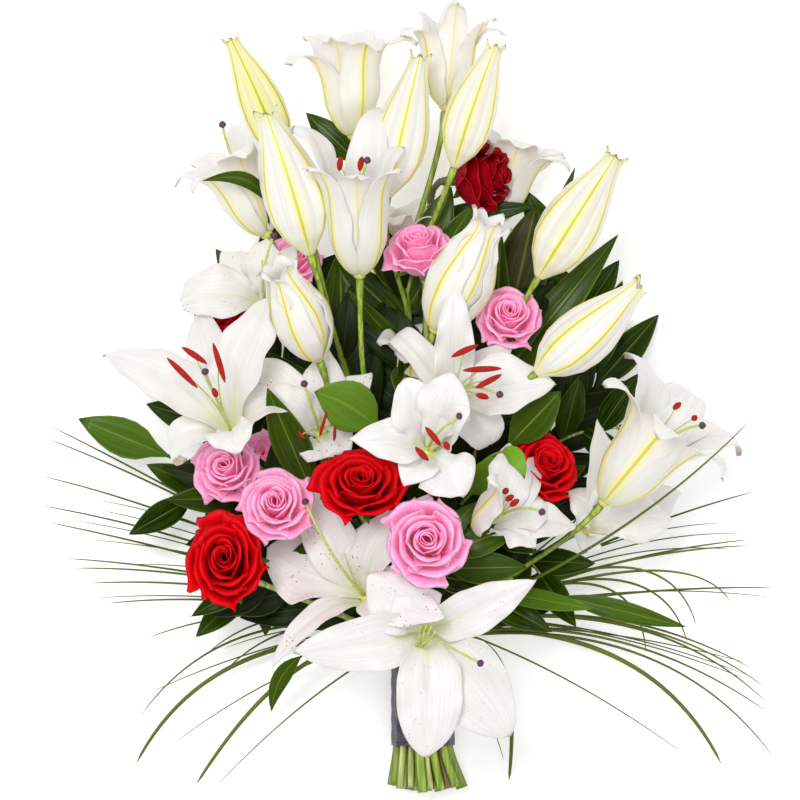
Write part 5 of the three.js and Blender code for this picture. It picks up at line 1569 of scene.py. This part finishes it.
def make_grass():
    for name, form in GRASS_TUFTS.items():
        stem = stems[name]
        rng = random.Random(seed_of(name))
        foot = Pile()
        foot.tube(stem["path"], tapered(stem["radius"], 0.7), 12, 40, stem["tone"])
        foot.piece(name + "_foot", LILY_STALK, name)
        pile = Pile()

        def blade(points, thick, taper, thin, *grid):
            """A blade of grass along a curve, tapered to a thin tip."""
            tone = (rng.random(), 0.0)
            pile.tube(bezier(*points), lambda t: thick * (1 - t) ** taper + thin, *grid, tone, BLADE_FLAT)

        for index, end in enumerate(form["tips"]):
            start = stem["path"].at(mix(0.97, 0.72, index / len(form["tips"])))
            end = vector(end)
            middle = (start + end) / 2
            droop = within((DROOP_FROM - end[1]) / DROOP_SPAN)
            middle[1] += GRASS_SAG * (0.3 + 0.5 * abs(math.sin(index * 2.4)) + 1.7 * droop)
            middle[0] += np.sign(end[0]) * DROOP_REACH * droop * abs(math.sin(index * 1.3 + 0.6))
            middle[2] += 6 + 10 * abs(math.sin(index * 1.7))
            over = end[2] > OVER_FLOWERS
            if over:
                middle += OVER_BEND
            thick, taper = (1.9, 0.2) if end[1] < -45 else (1.3 if over else 1.15, 0.45)
            blade((start, middle, end), thick, taper, 0.12, 6, 26)
            if rng.random() < 0.7:
                shift = np.array([0.0, rng.uniform(-14, 18), rng.uniform(-5, 12)])
                near = start + (end - start) * rng.uniform(0.82, 1.0) + shift
                near[2] = max(LOWEST_TIP, near[2])
                rise = np.array([0.0, rng.uniform(12, 34), rng.uniform(0, 18)])
                blade((start + shift * 0.2, (start + near) / 2 + rise, near), 0.8, 0.5, 0.1, 5, 24)
        for bend, end in form.get("arcs", []):
            blade((stem["path"].at(0.94), bend, end), 1.2, 0.4, 0.12, 6, 30)
        pile.piece(name + "_blades", GRASS, name)


RIBBON_SIDES = 96
RIBBON_ROWS = 24
HULL_SIDES = 16
KNOT_Y = -8.0
TAIL_WIDTH = 17.0


def ribbon_outline(offset):
    """The bundle's hull, as the ribbon is drawn tight round it."""
    supports = []
    for side in range(HULL_SIDES):
        angle = side / HULL_SIDES * TURN
        reach = max(
            stem["place"][0] * math.cos(angle) + stem["place"][1] * math.sin(angle) + stem["radius"]
            for stem in stems.values()
        )
        supports.append((angle, reach + offset))
    corners = []
    for (one, near), (two, far) in zip(supports, supports[1:] + supports[:1]):
        turn = math.sin(two - one)
        x = (near * math.sin(two) - far * math.sin(one)) / turn
        z = (far * math.cos(one) - near * math.cos(two)) / turn
        corners.append((x, 0, z))
    return Path(corners + corners[:1])


def make_ribbon():
    outline = ribbon_outline(GAP + RIBBON_THICKNESS / 2)
    shares = np.linspace(0, 1, RIBBON_SIDES, endpoint=False)
    around = outline.at(shares)
    ahead = np.roll(around, -1, axis=0) - np.roll(around, 1, axis=0)
    ahead /= lengths(ahead)
    outward = np.stack([ahead[:, 2], 0 * ahead[:, 0], -ahead[:, 0]], axis=1)
    if ((around - around.mean(axis=0)) * outward).sum() < 0:
        outward = -outward
    free = within((around[:, 2] - 3) / 6)
    outer = np.linspace(0, 1, RIBBON_ROWS + 1)
    rings = []
    for side, rows in ((1, outer), (-1, outer[::-1])):
        for share in rows:
            fold = 0.16 * np.sin(9 * math.pi * share + 6 * np.sin(TURN * shares))
            edge = min(1.0, share * 12, (1 - share) * 12)
            offset = side * CLOTH / 2 + fold * free * edge
            place = np.array([0, mix(TIE_LOW, RIBBON_HIGH, share), 0])
            rings.append(around + outward * offset[:, None] + place)
    band = Pile()
    band.rings(rings, joined=True)
    wrap = band.piece("ribbon_wrap", SATIN, "ribbon_tie")
    top = max(stem["place"][1] + stem["radius"] for stem in stems.values()) + GAP
    knot = Pile()
    path = spline([(-9, -6, top + 1.5), (-4, -6, top + 4.6), (4, KNOT_Y, top + 4.6), (9, KNOT_Y, top + 1.5)])
    knot.tube(path, lambda t: 3.2 + 0.8 * math.sin(math.pi * t), 14, 12, flat=0.8)
    knot.piece("ribbon_knot", SATIN, "ribbon_tie")
    for hand, side, long in (("left", -1, 27), ("right", 1, 22)):
        tail = Pile()
        surface = tail_surface((side * 2, KNOT_Y, top + 3), (side * 13, KNOT_Y - long, top + 6))
        tail.blade(surface, TAIL_GRID, CLOTH)
        made = tail.piece("ribbon_tail_" + hand, SATIN, "ribbon_tie")


def tail_surface(root, tip):
    """A ribbon end that hangs from the knot, cut to a slant."""
    start, end = vector(root), vector(tip)
    side = unit(np.cross(end - start, UP))

    def surface(u, v):
        reach = within(u) * (1 + 0.12 * v)
        centre = start + (end - start) * reach[..., None]
        opened = within(u * 3)
        narrow = 0.45 + 0.55 * opened
        curl = 1.2 * np.sin(5 * u + 1) * opened + 0.9 * np.sin(2.4 * v) * u
        return centre + side * (v * TAIL_WIDTH / 2 * narrow)[..., None] + UP * curl[..., None]

    return surface


make_lilies()
make_shaded()
make_stamens()
make_roses()
make_lily_stems()
make_ruscus()
make_grass()
make_ribbon()
